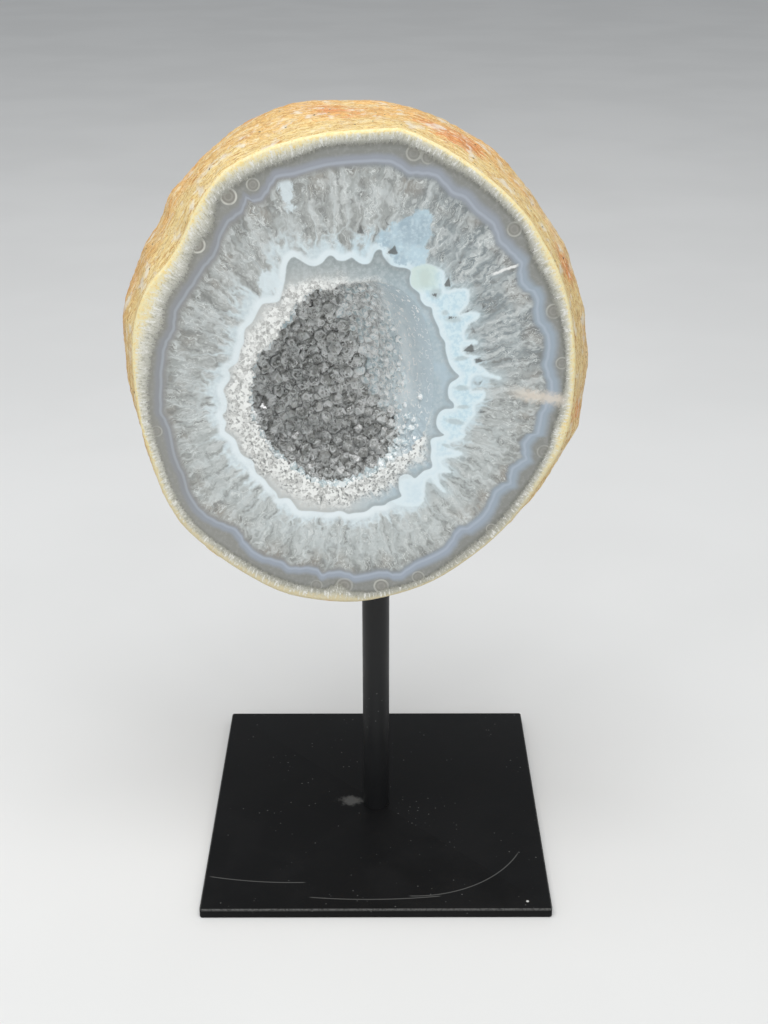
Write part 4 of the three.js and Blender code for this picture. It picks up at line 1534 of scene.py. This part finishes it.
def build_rod(stand):
    """The round rod, spun from its profile, with its upper end eased."""
    low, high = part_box("stand_rod")
    radius = high.x
    profile = [
        (0, low.z), (radius, low.z), (radius, high.z - stand.edge),
        (radius - stand.edge, high.z), (0, high.z),
    ]
    return lathe("rod_skin", profile, 72, 1e-6)


class AGATE_OT_make_stand(bpy.types.Operator):
    """Makes the square plate and the rod that carry the slice"""

    bl_idname = "agate.make_stand"
    bl_label = "Make the stand"

    def execute(self, context):
        stand = context.scene.stand_sizes
        pieces = {
            "base_plate": (build_plate(stand), satin_black(stand, "painted plate", True)),
            "stand_rod": (build_rod(stand), satin_black(stand, "painted rod", False)),
        }
        for node, (mesh, finish) in pieces.items():
            packed(node)
            piece = show(f"painted_{node}", mesh, [finish])
            mesh.set_sharp_from_angle(angle=math.radians(35))
            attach(piece, "root")
            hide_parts(node)
        return {"FINISHED"}


# The stage


def soft_light(name, place, aim, size, power):
    """A rectangular area light that looks at a point."""
    lamp = bpy.data.lights.new(name, "AREA")
    lamp.shape = "RECTANGLE"
    lamp.size, lamp.size_y = size
    lamp.energy = power
    piece = bpy.data.objects.new(name, lamp)
    piece.location = place
    piece.rotation_euler = (Vector(aim) - Vector(place)).to_track_quat("-Z", "Y").to_euler()
    bpy.context.scene.collection.objects.link(piece)


def pale_floor(stage):
    """A wide pale floor."""
    work = bmesh.new()
    bmesh.ops.create_grid(work, x_segments=1, y_segments=1, size=8)
    mesh = as_mesh(work, "floor")
    f = Finish("pale floor")
    cloud = f.noise(f.node("ShaderNodeTexCoord", output=3), 6, 3)
    colour = f.mix(cloud.ease(0.35, 0.65), stage.floor_colour, (0.77, 0.77, 0.76))
    return show("floor", mesh, [f.finish(Base_Color=colour, Roughness=0.6)])


class AGATE_OT_set_stage(bpy.types.Operator):
    """Sets up the camera, the pale floor and the soft studio lights"""

    bl_idname = "agate.set_stage"
    bl_label = "Set the stage"

    def execute(self, context):
        scene = context.scene
        stage = scene.studio_stage
        camera = bpy.data.cameras.new("camera")
        camera.lens = stage.lens
        camera.sensor_width = 36
        camera.clip_end = 50
        piece = bpy.data.objects.new("camera", camera)
        piece.location = stage.eye
        piece.rotation_euler = Euler((stage.tilt, 0, stage.pan))
        scene.collection.objects.link(piece)
        scene.camera = piece
        pale_floor(stage)
        aim = (0, 0, 0.14)
        soft_light("ceiling", (-0.1, -0.35, 1.5), aim, (1.4, 1.0), 17.5)
        soft_light("front", (0.2, -1.3, 0.75), aim, (0.5, 0.4), 0.75)
        glints = [
            (-0.45, -0.7, 0.75), (0.5, -0.75, 0.5), (-0.1, -0.85, 0.95),
            (0.15, -0.9, 0.35), (-0.6, -0.6, 0.35), (0.35, -0.6, 0.9),
        ]
        for number, place in enumerate(glints):
            soft_light(f"glint {number}", place, aim, (0.07, 0.07), 0.2)
        world = bpy.data.worlds.new("studio")
        world.use_nodes = True
        air = world.node_tree.nodes["Background"]
        air.inputs[0].default_value = (0.94, 0.97, 1.0, 1)
        air.inputs[1].default_value = 0.42
        scene.world = world
        scene.view_settings.view_transform = "Standard"
        return {"FINISHED"}


class AGATE_PT_panel(bpy.types.Panel):
    """Lists the steps that build the slice and its stand"""

    bl_label = "Agate slice"
    bl_idname = "AGATE_PT_panel"
    bl_space_type = "VIEW_3D"
    bl_region_type = "UI"
    bl_category = "Agate"

    def draw(self, context):
        for step in STEPS:
            self.layout.operator(step.bl_idname)
        for name, group in GROUPS.items():
            box = self.layout.box()
            box.label(text=group.__doc__)
            for key in group.__annotations__:
                box.prop(getattr(context.scene, name), key)


GROUPS = {
    "agate_stone": AgateStone,
    "quartz_points": QuartzPoints,
    "stand_sizes": StandSizes,
    "studio_stage": StudioStage,
}
STEPS = [
    AGATE_OT_set_stage, AGATE_OT_make_stand, AGATE_OT_cut_slice, AGATE_OT_grow_crystals,
]


def register():
    for made in [*GROUPS.values(), *STEPS, AGATE_PT_panel]:
        bpy.utils.register_class(made)
    for name, group in GROUPS.items():
        setattr(bpy.types.Scene, name, bpy.props.PointerProperty(type=group))


def unregister():
    for name in GROUPS:
        delattr(bpy.types.Scene, name)
    for made in [*GROUPS.values(), *STEPS, AGATE_PT_panel]:
        bpy.utils.unregister_class(made)


def main():
    register()
    bpy.ops.agate.set_stage()
    bpy.ops.agate.make_stand()
    bpy.ops.agate.cut_slice()
    bpy.ops.agate.grow_crystals()


if __name__ == "__main__":
    main()
